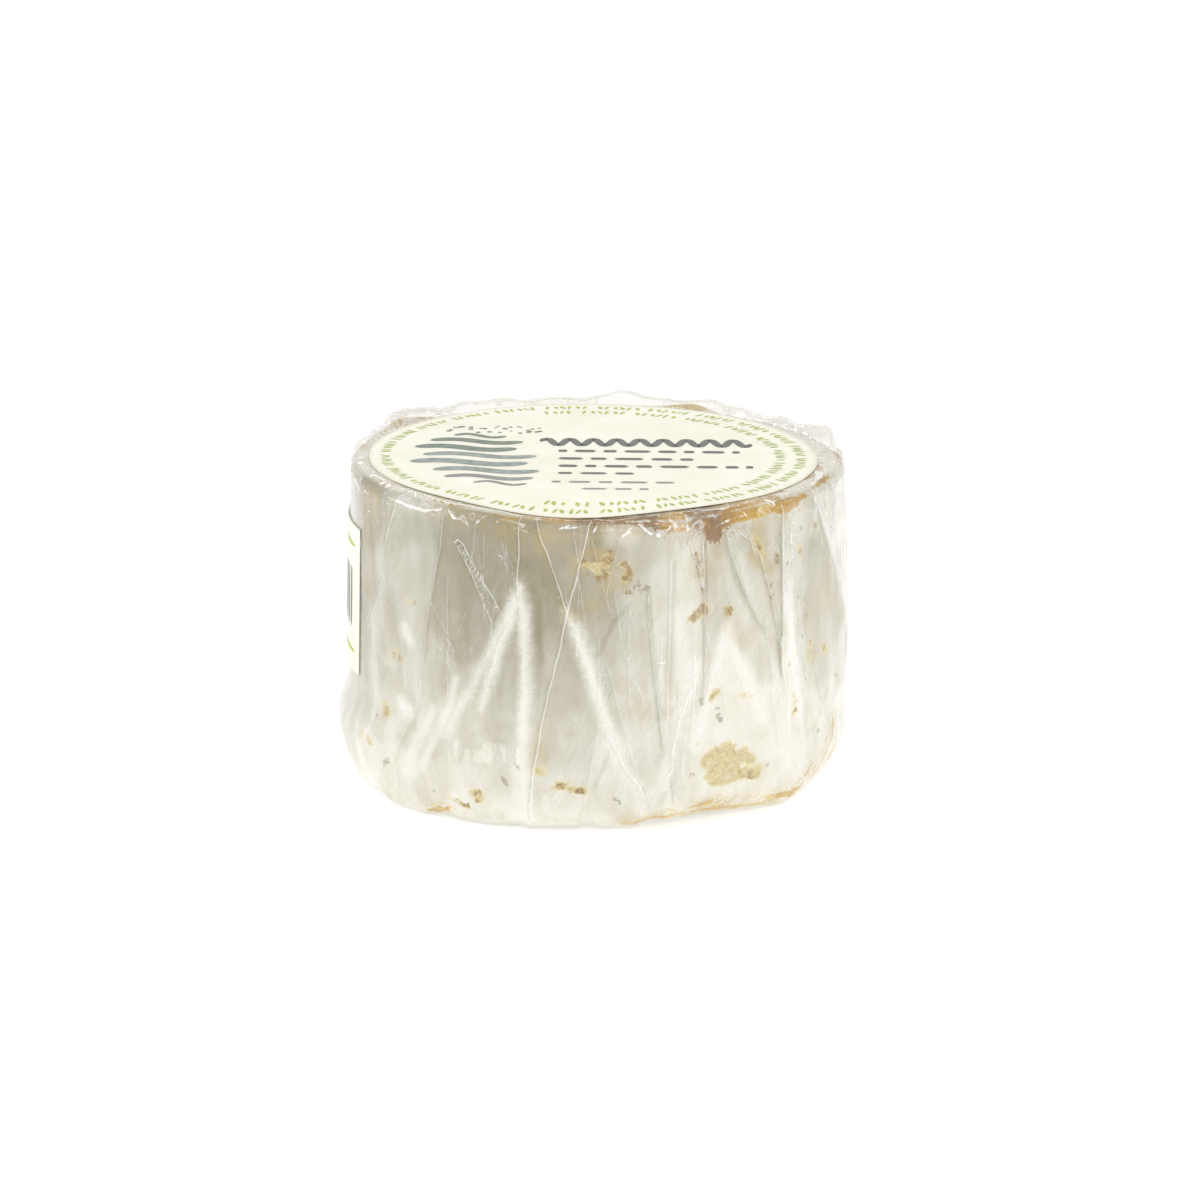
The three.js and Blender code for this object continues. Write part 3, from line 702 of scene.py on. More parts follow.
DAMP_PANELS = [  # flats between two folds: how much damper, softness of their edges, corners
    (0.04, 0.5, [(-52, 56), (-36, 56), (-38, 46), (-41, 36), (-44.5, 22), (-48, 12), (-62, 16),
                 (-67, 28), (-60, 37), (-55.6, 46)]),
    (0.2, 0.8, [(-36, 56), (-17.5, 56), (-17.5, 43), (-22, 37),
                (-25.6, 30), (-32, 27), (-41, 33), (-38, 46)]),
    (0.3, 1.4, [(-73, 54), (-55, 54), (-58, 47), (-63, 42), (-68, 44)]),
    (0.2, 2, [(-76, 34), (-62, 37), (-66, 28), (-61, 14), (-70, 14), (-76, 20)]),
    (0.2, 2, [(-50, 52), (-6, 53), (-8, 46), (-30, 47), (-52, 46)]),
    (0.34, 1.2, [(-31, 55), (-3, 55), (-4, 50), (-30, 50)]),
    (-0.4, 1.2, [(1, 55), (10, 55), (9, 50), (2, 50)]),
    (0.5, 1.4, [(-11, 51), (-2.6, 51), (-4.6, 45.5), (-9, 45.5)]),
    (0.35, 1.5, [(70, 40), (84, 42), (84, 16), (71, 16)]),
    (0.14, 1.5, [(69, 56), (86, 56), (86, 45), (70, 45)]),
    (0.16, 2, [(-61, 38), (-50, 38), (-51, 20), (-60, 20)]),
    (0.2, 2, [(-98, 20), (-70, 20), (-68, 1), (-98, 1)]),
    (0.14, 2.4, [(-44, 31), (-26, 31), (-24, 22), (-42, 22)]),
    (0.14, 0.7, [(-17.4, 37), (-20.8, 31), (-22.8, 24), (-23.8, 15), (-18, 15), (-17.4, 24)]),
    (0.18, 0.4, [(-15, 44), (-12.4, 41), (-12, 30), (-13.4, 18), (-15, 19), (-14.9, 30)]),
    (0.06, 0.6, [(-6, 38), (-3.4, 31), (1, 21), (-1.6, 12), (-13.4, 10), (-12, 20), (-9, 30)]),
    (0.04, 0.5, [(-2.2, 55), (-4.4, 44), (-5, 39), (-1, 33), (1.4, 33),
                 (7.4, 40), (11.4, 41), (10.6, 55)]),
    (0.03, 0.5, [(1, 32), (7.4, 40), (11.4, 41), (12.4, 30),
                 (13.8, 21), (13.4, 12), (6, 13), (2.6, 20)]),
    (-0.1, 0.5, [(12.2, 46), (17, 48), (16.6, 30), (15.6, 8), (14.4, 8), (14.6, 20), (13, 32)]),
    (-0.24, 0.8, [(17.6, 50), (22.6, 47), (23.6, 38), (23, 26), (16.8, 20), (17, 36)]),
    (0.06, 0.6, [(25, 52), (29.6, 50), (33, 42), (30.6, 36), (27, 30), (25, 24)]),
    (-0.2, 1.4, [(30.2, 35), (38.6, 24), (50, 20), (52, 9), (38, 5), (20, 7), (22, 14), (26, 24)]),
    (0.06, 0.6, [(30, 52), (45.6, 52), (45.8, 42), (38, 44), (34, 46)]),
    (-0.16, 0.4, [(46.5, 50), (48.4, 50), (52, 30), (55, 14), (46.6, 14)]),
    (0.22, 1.4, [(54, 46), (62, 46), (72, 36), (70, 20), (60, 20), (55, 30)]),
    (-0.12, 0.5, [(58.6, 54), (76, 54), (84, 30), (76, 33), (66, 43)]),
    (0.3, 0.8, [(118, 55), (136, 55), (131, 28), (124, 24)]),
    (-0.2, 0.7, [(136, 55), (152, 55), (150, 16), (138, 16)]),
    (0.24, 0.7, [(166, 55), (192, 55), (184, 26), (172, 24)]),
    (-0.2, 0.7, [(192, 55), (208, 55), (204, 14), (190, 14)]),
    (0.26, 0.8, [(214, 55), (236, 55), (230, 30), (220, 26)]),
]
# Some of these lines are painted shade on the shaded side of a fold, laid on as damp beige.
DAMP_AND_SHADE_STROKES = [  # long soft lines, damper or drier: how much, softness, then the line
    (0.3, 0.6, [(11.6, 42, 0.4), (12.4, 31, 0.4), (13.8, 22, 0.5), (14.4, 14, 0.3)]),
    (0.42, 0.4, [(24.3, 52, 0.4), (24.6, 44, 0.5), (24.4, 36, 0.4), (24, 22, 0.2)]),
    (0.4, 0.8, [(29.6, 51, 0.3), (31.4, 46, 0.6), (34.4, 40.6, 0.7),
                (37.4, 36, 0.5), (41, 32.6, 0.2)]),
    (0.3, 0.5, [(35.4, 51, 0.2), (38.6, 46.6, 0.4), (42.4, 39, 0.4),
                (45, 33, 0.3), (46.1, 26, 0.2)]),
    (0.3, 0.3, [(46.1, 50, 0.2), (46, 36, 0.3), (46.1, 24, 0.2)]),
    (0.26, 0.5, [(52.4, 32, 0.3), (53.8, 26, 0.5), (55.6, 22, 0.3)]),
    (0.3, 0.5, [(59, 52, 0.3), (62.4, 47, 0.5), (66.4, 42.6, 0.5), (72, 38, 0.3)]),
    (0.5, 0.3, [(9.9, 9, 0.15), (10.6, 6.6, 0.3), (10.2, 4.4, 0.15)]),
    (0.4, 0.3, [(17, 14, 0.15), (16.4, 10, 0.3), (16.8, 6.4, 0.2)]),
    (0.24, 0.4, [(0.4, 31, 0.3), (1.6, 33.5, 0.3), (4, 37, 0.3), (7.6, 40, 0.2)]),
    (0.2, 0.4, [(-44, 19, 0.2), (-46.6, 15, 0.4), (-48.6, 11, 0.2)]),
    (0.2, 0.4, [(-37.6, 13.6, 0.2), (-39.6, 9, 0.3)]),
    (0.2, 0.6, [(-57, 46, 0.3), (-58.4, 41, 0.4), (-62, 35, 0.3), (-67, 29, 0.2)]),
    (0.16, 0.5, [(-36.6, 50, 0.3), (-40.6, 36, 0.5), (-43.6, 24, 0.4)]),
    (0.2, 0.5, [(-25, 29, 0.3), (-29.4, 24.4, 0.3)]),
    (0.18, 0.6, [(-22, 24, 0.6), (-21.4, 30, 0.4)]),
    (0.3, 0.5, [(-1, 8, 0.2), (2.4, 14.6, 0.3)]),
    (0.2, 0.4, [(12.4, 9.4, 0.3), (14.6, 7, 0.4), (14.2, 5, 0.3)]),
    (0.2, 0.5, [(17.5, 46, 0.3), (17, 36, 0.3), (16.4, 26, 0.3)]),
    (0.3, 0.7, [(-16, 53, 1.4), (-9, 52.6, 1.4)]),
    (-0.3, 0.8, [(-52, 53.4, 0.9), (-42, 53, 0.8), (-34, 53.4, 0.5)]),
    (0.2, 0.6, [(56, 12, 0.4), (60, 13, 0.4), (66, 18, 0.4)]),
]
BACK_STROKES = 26
BACK_STROKE_ANGLES = (84, 276)
BACK_STROKE_DRIFT = (0, 0.8)
BACK_STROKE_FEET = (8, 34)
BACK_STROKE_WIDTHS = (0.3, 1.4)
BACK_STROKE_DAMP = (-0.2, 0.36)
BACK_STROKE_SOFTNESS = 0.3  # more than its width
CHEESE_SECTORS = 760
CHEESE_STEPS = (4, 26, 74, 12, 10)
CHEESE_GAP = 0.3  # to the film where it lies close
TOP_GAP = 0.09  # and where the top label presses it on
RIND_LUMPS = [(5, 0.13, 3), (1.6, 0.05, 11)]  # size, height, seed
TOP_LUMP_SHARE = 0.3
FOLD_SHARE = 0.8  # of the film's folds that the rind follows
RIND_PEAKS = [(157, 6, 0.85), (-121, 13, 0.6)]  # where the rind stands up in the film's rim


def back_strokes():
    """Lines of the same kind over the part of the side that faces away."""
    strokes = []
    for i, top in spread_out(BACK_STROKES, BACK_STROKE_ANGLES, 6, BACK_STROKE_DRIFT):
        foot = top + scatter(i, 7, BACK_SLANTS)
        heights = scatter(i, 8, BACK_TOPS), scatter(i, 9, BACK_STROKE_FEET)
        width = scatter(i, 10, BACK_STROKE_WIDTHS)
        line = [(top, heights[0], width / 2), (foot, heights[1], width)]
        strokes.append((scatter(i, 11, BACK_STROKE_DAMP), width + BACK_STROKE_SOFTNESS, line))
    return strokes


def damp_and_shade_at(angle, height):
    """How damp the rind is, from 0 up, with painted shade beside some folds added in: most near
    the top, partly where the film is drawn tightest and partly as painted shade under the rim.
    """
    dry_side = DRY_SHARE * ease(np.abs(turn(DRY_ANGLE, angle)), DRY_HALF_WIDTH, 0)
    field = DAMP_EVERYWHERE + humps(angle, DAMP_ZONES) - dry_side
    field = field * ease(height, *DAMP_HEIGHTS) + DAMP_LEAST
    for damper, softness, corners in DAMP_PANELS:
        field = field + damper * ease(inside_outline(angle, height, corners), -softness, softness)
    for damper, softness, line in DAMP_AND_SHADE_STROKES + back_strokes():
        field = field + damper * ease(nearest_edge(angle, height, [line]), -softness, softness)
    return np.clip(field * (1 - TOP_DRYNESS * ease(height, *OVER_RIM)), 0, MOST_DAMP)


rings = wheel_rings(
    CHEESE_SECTORS, CHEESE_STEPS, FOLD_SHARE, lambda angle: humps(angle, RIND_PEAKS)
)
angle, radius, height = off_wheel(rings)
lumps = sum(size * uneven(rings, width, seed) for width, size, seed in RIND_LUMPS)
lift = between(
    lumps - CHEESE_GAP, TOP_LUMP_SHARE * lumps - TOP_GAP, under_top_label(radius, height)
)
cheese_rings = rings + outward(rings) * lift[..., None]
cheese_rings[..., 2] = np.maximum(cheese_rings[..., 2], CHEESE_GAP)

height = unrolled(angle, radius, height)
strips = nearest_edge(angle, height, BLOOM_STRIPS)
worn_and_shadow = nearest_edge(angle, height, EDGE_OCHRE_AND_SHADOW)
stains = [nearest_edge(angle, height, marks) for marks in (STAINS_TAN, STAINS_BROWN, STAINS_GREY)]
yellowed = sum(
    strength * ease(nearest_edge(angle, height, [patch]), *YELLOWED_EDGE)
    for strength, patch in YELLOWED
)
browned = humps(angle, OCHRE_BROWNED) * ease(height, *BROWNED_HEIGHTS)
faded = humps(angle, OCHRE_FADED) + FOOT_FADED * ease(height, *FADED_HEIGHTS)
rind_masks = {
    "rind": np.stack([strips, damp_and_shade_at(angle, height), worn_and_shadow], -1),
    "stains": np.stack(stains, -1),
    "tints": np.stack([np.clip(yellowed, 0, 1), ease(height, *OVER_RIM), browned - faded], -1),
}


def place_node(tree, kind, inputs=None, **settings):
    """A shader node. Its inputs are given by name or number, as values or as sockets."""
    made = tree.nodes.new("ShaderNode" + kind)
    for name, value in settings.items():
        setattr(made, name, value)
    for name, value in (inputs or {}).items():
        if isinstance(value, bpy.types.NodeSocket):
            tree.links.new(value, made.inputs[name])
        else:
            made.inputs[name].default_value = value
    return made


def add_node(kind, inputs, **settings):
    """A shader node beside the nodes that its inputs come from."""
    tree = next(i.id_data for i in inputs.values() if isinstance(i, bpy.types.NodeSocket))
    return place_node(tree, kind, inputs, **settings)


def maths(operation, *values, clamp=False):
    """The result of a sum on up to three values or sockets."""
    inputs = dict(enumerate(values))
    return add_node("Math", inputs, operation=operation, use_clamp=clamp).outputs[0]


def times(first, second, clamp=False):
    return maths("MULTIPLY", first, second, clamp=clamp)


def total(*terms, start=0, clamp=False):
    """A sum of values, each times its share: terms are pairs of a value and a share."""
    for value, share in terms:
        start = maths("MULTIPLY_ADD", value, share, start)
    start.node.use_clamp = clamp
    return start


def ramp(value, low, high, start=0, end=1):
    """start below low, end above high, and a smooth rise between them."""
    inputs = {"Value": value, "From Min": low, "From Max": high, "To Min": start, "To Max": end}
    return add_node("MapRange", inputs, interpolation_type="SMOOTHSTEP").outputs[0]


def mixed(share, first, second):
    """A mix of two colours."""
    return add_node("Mix", {0: share, 6: first, 7: second}, data_type="RGBA").outputs[2]


def laid_over(look, share, cover, strength):
    """A look with a colour over a share of it. strength is how well the colour covers."""
    return mixed(times(share, strength), look, cover)


def relief(height, strength, depth):
    """The direction that a surface faces when it has relief as deep as depth, in millimetres."""
    inputs = {"Strength": strength, "Distance": depth * METRES, "Height": height}
    return add_node("Bump", inputs).outputs[0]


def mask_parts(tree, name):
    """The three values of one of a mesh's masks."""
    mask = place_node(tree, "Attribute", attribute_name=name)
    return add_node("SeparateXYZ", {0: mask.outputs["Vector"]}).outputs


def colour(red, green, blue):
    """A colour as a shader takes it, from the 0 to 255 of a paint chart."""
    parts = np.array([red, green, blue]) / 255
    linear = np.where(parts < 0.04045, parts / 12.92, ((parts + 0.055) / 1.055) ** 2.4)
    return (*linear, 1)


def start_material(name):
    made = bpy.data.materials.new(name)
    made.use_nodes = True
    made.node_tree.nodes.clear()
    return made, made.node_tree


def give_surface(inputs):
    """Ends a material with the shader of an ordinary surface."""
    shader = add_node("BsdfPrincipled", inputs)
    add_node("OutputMaterial", {"Surface": shader.outputs[0]})


# Drawn-out mottle: noise whose lumps are stretched up the wheel and lean to one side, as the
# threads of the bloom and the pleats of the film do. Size is in millimetres.
MOTTLE_INPUTS = {"Size": 1, "Stretch": 1, "Lean": 0, "Detail": 2, "Distortion": 0}
NOISE_RANGE = (0.25, 0.75)

mottle = bpy.data.node_groups.new("drawn_mottle", "ShaderNodeTree")
for label, usual in MOTTLE_INPUTS.items():
    socket = mottle.interface.new_socket(label, in_out="INPUT", socket_type="NodeSocketFloat")
    socket.default_value = usual
mottle.interface.new_socket("Value", in_out="OUTPUT", socket_type="NodeSocketFloat")
told = mottle.nodes.new("NodeGroupInput").outputs
at = place_node(mottle, "TexCoord").outputs["Object"]
up = add_node("SeparateXYZ", {0: at}).outputs[2]
twist = {"Vector": at, "Angle": times(up, told["Lean"])}
leaned = add_node("VectorRotate", twist, rotation_type="Z_AXIS").outputs[0]
shorter = {0: 1, 1: 1, 2: maths("DIVIDE", 1, told["Stretch"])}
squeeze = add_node("CombineXYZ", shorter).outputs[0]
drawn = add_node("VectorMath", {0: leaned, 1: squeeze}, operation="MULTIPLY").outputs[0]
lumpy = {name: told[name] for name in ("Detail", "Distortion")}
lumpy.update({"Vector": drawn, "Scale": maths("DIVIDE", 1 / METRES, told["Size"])})
noisy = add_node("TexNoise", lumpy).outputs[0]
mottle.links.new(noisy, mottle.nodes.new("NodeGroupOutput").inputs["Value"])


def mottle_value(tree, size, stretch=1, lean=0, detail=2, distortion=0):
    """Drawn-out mottle from about -1 to 1."""
    inputs = dict(zip(MOTTLE_INPUTS, (size, stretch, lean, detail, distortion)))
    made = place_node(tree, "Group", inputs, node_tree=mottle)
    low, high = NOISE_RANGE
    spread = {"Value": made.outputs[0], "From Min": low, "From Max": high, "To Min": -1}
    return add_node("MapRange", spread).outputs[0]


BLOOM_WHITE = colour(239, 237, 229)
BLOOM_CREAM = colour(232, 228, 214)
DAMP_BEIGE = colour(150, 141, 108)
DAMP_GREY = colour(164, 158, 134)
OCHRE_YELLOW = colour(192, 146, 20)
OCHRE_BROWN = colour(136, 96, 36)
OCHRE_PALE = colour(222, 198, 116)
STAIN_TAN = colour(220, 200, 138)
STAIN_DEEP = colour(188, 162, 98)
STAIN_YELLOW = colour(232, 222, 146)
STAIN_BROWN = colour(140, 108, 56)
FUR_WHITE, FUR_COVER = colour(246, 244, 237), 0.75  # how well each covers what it lies on
DAMP_DEEP, DEEP_COVER = colour(112, 106, 84), 0.4
YELLOWISH, YELLOWISH_COVER = colour(192, 168, 98), 0.7
TOP_BEIGE, BEIGE_COVER = colour(236, 227, 208), 0.6
STAIN_GREY, GREY_COVER = colour(150, 140, 114), 0.7
OCHRE_COVER, FRECKLE_COVER, TAN_COVER, BROWN_COVER = 0.95, 0.7, 0.85, 0.9
RIND_ROUGHNESS = (0.9, 0.6)  # dry, damp
RIND_BUMP, RIND_DEPTH = 0.6, 0.12
DAMP_BUMP = 0.25  # the share of its threads' relief that the rind keeps where it is damp
BLOOM_BUMP = 1.2
SOFT_SCATTER = 0.12  # how much light the rind lets in and out again
SCATTER_COLOUR = (1, 0.8, 0.5)
SCATTER_DEPTH = 1.5

rind, tree = start_material("white_rind")
# damp_and_shade is the damp of the rind, with painted fold shade and shade towards the top in it.
strip, damp_and_shade, worn_and_shadow_edge = mask_parts(tree, "rind")
tan_edge, brown_edge, grey_edge = mask_parts(tree, "stains")
yellowing, on_top, browning = mask_parts(tree, "tints")
cloud = mottle_value(tree, 14, detail=3)
patch = mottle_value(tree, 4, 1.6, detail=4, distortion=0.4)
speck = mottle_value(tree, 1.1, detail=5)
crumb = mottle_value(tree, 0.6, detail=3)
grain = mottle_value(tree, 0.34, detail=2)
threads = mottle_value(tree, 0.55, 5, -14, detail=3)
fur = mottle_value(tree, 1.5, 0.14, detail=1)
pleats = mottle_value(tree, 2.6, 9, 3, detail=3)


def ragged(edge, *terms, spread=0):
    """The share of a mark at a place, from how far inside its edge the place lies, how much
    further it spreads and the noises that make its edge ragged."""
    return ramp(total(*terms, start=edge), -0.15 - spread, 0.2 - spread)


# The bloom: thick along the folds, and elsewhere thin enough for the damp to show through.
furry = total((speck, 0.35), (fur, 0.22), (threads, 0.2), start=strip)
thick_bloom = ramp(furry, -1.6, 0.8)
dry = maths("MULTIPLY_ADD", thick_bloom, -0.85, 1)
soaked = maths("MINIMUM", damp_and_shade, 1)
soaked = total((cloud, 0.1), (patch, 0.1), (pleats, 0.12), (threads, 0.06), start=soaked)
wet = times(soaked, dry, clamp=True)
look = mixed(ramp(patch, -0.8, 0.8), BLOOM_WHITE, BLOOM_CREAM)
look = laid_over(look, thick_bloom, FUR_WHITE, FUR_COVER)
# The damp beige: damp rind, and painted shade where the field carries it.
look = mixed(wet, look, mixed(ramp(cloud, -0.7, 0.7), DAMP_BEIGE, DAMP_GREY))
deep = times(ramp(damp_and_shade, 1.1, MOST_DAMP), dry)
look = laid_over(look, deep, DAMP_DEEP, DEEP_COVER)
yellow_share = times(yellowing, ramp(patch, -1, 0.6))
look = laid_over(look, yellow_share, YELLOWISH, YELLOWISH_COVER)
beige_share = times(on_top, ramp(speck, -1, 0.5))
look = laid_over(look, beige_share, TOP_BEIGE, BEIGE_COVER)

# The ochre: freckles on the top, then the worn edges with a few freckles round them.
freckled = ramp(total((speck, 1), (patch, 0.6)), 0.5, 0.7)
look = laid_over(look, times(freckled, on_top), OCHRE_YELLOW, FRECKLE_COVER)
browner = total((patch, 0.6), (speck, 0.4), (browning, 1.1), start=-0.2)
paler = total((crumb, 0.6), (speck, 0.5), (browning, -0.8))
ochre = mixed(ramp(browner, -0.4, 0.9), OCHRE_YELLOW, OCHRE_BROWN)
ochre = mixed(ramp(paler, 0, 0.9), ochre, OCHRE_PALE)
# The worn ochre, which under the top label's front edge is partly a painted shadow.
ochre_share = ragged(worn_and_shadow_edge, (patch, 0.3), (speck, 0.45), (crumb, 0.3), (grain, 0.25))
look = laid_over(look, ochre_share, ochre, OCHRE_COVER)
freckles = ramp(total((crumb, 0.8), (grain, 0.6), (speck, 0.3)), 0.18, 0.4)
near_ochre = ramp(worn_and_shadow_edge, -2, -0.3)
look = laid_over(look, times(near_ochre, freckles), ochre, FRECKLE_COVER)

# The stains: broad tan ones with pale flecks and yellower edges, small brown ones, grey spots.
tan_tone = total((patch, 0.8), (speck, 0.6))
tan = mixed(ramp(tan_tone, -0.6, 0.8), STAIN_TAN, STAIN_DEEP)
tan = mixed(ramp(tan_edge, 0.5, 0, 0, 0.6), tan, STAIN_YELLOW)
flecks = total((crumb, 0.8), (grain, 0.6))
tan = mixed(ramp(flecks, 0.15, 0.5, 0, 0.6), tan, BLOOM_CREAM)
tan_share = ragged(tan_edge, (patch, 0.15), (speck, 0.45), (crumb, 0.4))
look = laid_over(look, tan_share, tan, TAN_COVER)
brown = mixed(ramp(crumb, -0.2, 0.7), STAIN_BROWN, STAIN_DEEP)
brown_share = ragged(brown_edge, (speck, 0.35), (crumb, 0.4), (grain, 0.4), spread=0.1)
brown_share = times(brown_share, ramp(speck, -0.9, 0.3, 0.5, 1))
look = laid_over(look, brown_share, brown, BROWN_COVER)
grey_share = ragged(grey_edge, (crumb, 0.4), spread=0.1)
look = laid_over(look, grey_share, STAIN_GREY, GREY_COVER)

raised = total((speck, 0.6), (threads, 0.7))
raised = times(raised, ramp(wet, 0.2, 0.8, 1, DAMP_BUMP))
raised = maths("MULTIPLY_ADD", thick_bloom, BLOOM_BUMP, raised)
give_surface({
    "Base Color": look,
    "Roughness": ramp(wet, 0, 1, *RIND_ROUGHNESS),
    "Normal": relief(raised, RIND_BUMP, RIND_DEPTH),
    "Subsurface Weight": SOFT_SCATTER,
    "Subsurface Radius": SCATTER_COLOUR,
    "Subsurface Scale": SCATTER_DEPTH * METRES,
})

caps = [(0, 0, CHEESE_GAP), (0, 0, WHEEL_HEIGHT - TOP_GAP)]
cheese = rings_piece("cheese", cheese_rings, caps, rind, rind_masks)
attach(cheese, "root")
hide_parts("wrapped_cheese")

# ---------------------------------------------------------------------------------------------
# The film: one sheet of thin clear stretch film, drawn up from the middle of the base, pleated
# over the side and pressed flat on top. It stands a little off the rind along its folds.
# ---------------------------------------------------------------------------------------------
FILM_SECTORS = 800
FILM_STEPS = (8, 18, 68, 14, 14)
FILM_PLEATS = [(3.4, 0.16, 21), (1.5, 0.05, 37)]  # size, height, seed
PLEAT_STRETCH = 6
PLEAT_SHARE, LOOSE_PLEAT_SHARE = 0.35, 0.3  # everywhere, and more where the film is loose
RIM_PLEAT = 0.36  # extra height of the pleats at the top edge
RUFFLE_SIZE, RUFFLE_SEED, RUFFLE_STRETCH = 8, 53, 1.5
LOOSE_HEIGHTS = (46, 53)
LOOSE_FOOT = 0.35
TOP_LABEL_EDGE = 0.3  # this near the label's edge the film isn't loose
SIDE_LABEL_PRESS = 1.5
# Each crease is drawn as a painted milky highlight with a painted shaded side beside it.
HAIR_CREASES = [  # thin bright creases: strength, then the line
    (1, [(-33.4, 48.2), (-32.8, 49), (-31.4, 48.4), (-28, 44.6), (-22.2, 38.2)]),
    (0.7, [(-33.4, 48.2), (-30, 44.6), (-26.6, 39.8), (-24, 35.8)]),
    (0.6, [(-31.4, 47), (-28.6, 43.8), (-26.4, 42)]),
    (0.9, [(-1.2, 54), (-3.2, 48), (-6.3, 38.6), (-8.6, 31), (-12.2, 19), (-14.4, 7), (-14.8, 3)]),
    (0.7, [(-13.6, 53), (-10.4, 47), (-7.8, 41.6), (-6.3, 38.6)]),
    (0.3, [(-5.6, 54), (-4, 47)]),
    (0.3, [(-4, 44), (-2.6, 37)]),
    (0.8, [(-17.6, 55), (-17.5, 46), (-17.3, 41)]),
    (0.3, [(-27.6, 54), (-28.8, 46)]),
    (0.4, [(-18.4, 37), (-22, 32.6), (-24, 27), (-27, 23.4)]),
    (0.5, [(-36, 54), (-37.6, 46), (-40.6, 36), (-42.4, 27), (-44, 20)]),
    (0.6, [(-51, 54), (-55.4, 46), (-57.6, 41), (-61, 36), (-67, 29)]),
    (0.4, [(-56.6, 43), (-58, 38), (-57, 33)]),
    (0.3, [(-46, 20), (-47.6, 14), (-49, 10)]),
    (0.5, [(11.3, 41), (12, 33), (13.6, 24), (14.6, 16)]),
    (0.5, [(16.8, 47), (16.4, 38), (16, 27), (15.6, 20)]),
    (0.3, [(14.6, 34), (14.3, 26)]),
    (0.5, [(20.6, 50), (22.6, 46), (23.6, 42)]),
    (0.6, [(23.8, 50), (24.2, 40), (24, 24)]),
    (0.6, [(29.6, 50.8), (33, 50.4), (36.6, 48.4), (38, 46)]),
    (0.5, [(30.2, 50), (33, 43.6), (37, 37), (42, 32)]),
    (0.5, [(36, 50), (39.4, 46), (43, 38.6), (46, 29)]),
    (0.8, [(46.3, 53), (46.3, 40), (46.4, 22)]),
    (0.5, [(47.4, 41), (50.6, 35), (52.4, 28), (54, 20)]),
    (0.4, [(47.4, 41), (48.4, 32), (50, 22)]),
    (0.4, [(52, 32), (54, 24), (58, 19), (63, 15)]),
    (0.7, [(58.6, 53), (62, 47.6), (66.4, 43), (74, 37.6)]),
    (0.5, [(60, 54), (66, 48), (74, 43)]),
    (0.6, [(70, 53), (75, 40), (78, 30)]),
    (0.6, [(2.6, 18), (6, 12.4), (9, 9.4), (10.4, 6.6), (9.6, 4)]),
    (0.6, [(20.6, 24.6), (18, 19), (16.4, 14), (16.4, 9), (17, 6)]),
    (0.4, [(16.6, 12), (13.4, 8.4), (11.6, 5)]),
    (0.5, [(92, 53), (87, 38), (85, 20)]),
    (0.6, [(112, 54), (106, 36), (109, 14)]),
    (0.5, [(126, 53), (131, 34), (128, 12)]),
    (0.7, [(147, 54), (141, 30), (144, 8)]),
    (0.5, [(160, 54), (165, 32), (163, 10)]),
    (0.6, [(180, 54), (176, 34), (179, 12)]),
    (0.5, [(196, 54), (201, 30), (199, 8)]),
    (0.7, [(216, 54), (210, 34), (213, 12)]),
    (0.5, [(232, 54), (237, 36), (234, 14)]),
]
CREASE_REACH = 6
FINE_CREASES = 130
FINE_SEED = 5
FINE_SLANT = (-7, 7)
FINE_TOPS = (24, 54)
FINE_DROPS = (6, 26)
FINE_FORCE = (0.1, 0.4)
FILM_LAYERS = [  # where the film lies double: corners
    [(-51, 54.5), (-36, 54.5), (-37.6, 46), (-40.6, 36), (-42.4, 27),
     (-44, 20), (-67, 29), (-61, 36)],
    [(15.8, 54), (24.2, 54), (24, 20), (16.4, 20)],
    [(46.3, 53), (60, 53), (54, 34), (53.5, 14), (46.3, 14)],
    [(-13.6, 53), (-1.2, 53.6), (-3.2, 48), (-6.3, 38.6)],
    [(58.6, 53), (80, 53), (80, 34), (66.4, 43)],
    [(92, 53), (112, 54), (106, 36), (98, 14), (85, 20), (87, 38)],
    [(147, 54), (160, 54), (165, 32), (158, 10), (144, 8), (141, 30)],
    [(180, 54), (196, 54), (201, 30), (190, 10), (179, 12), (176, 34)],
    [(216, 54), (232, 54), (237, 36), (226, 12), (213, 12), (210, 34)],
]
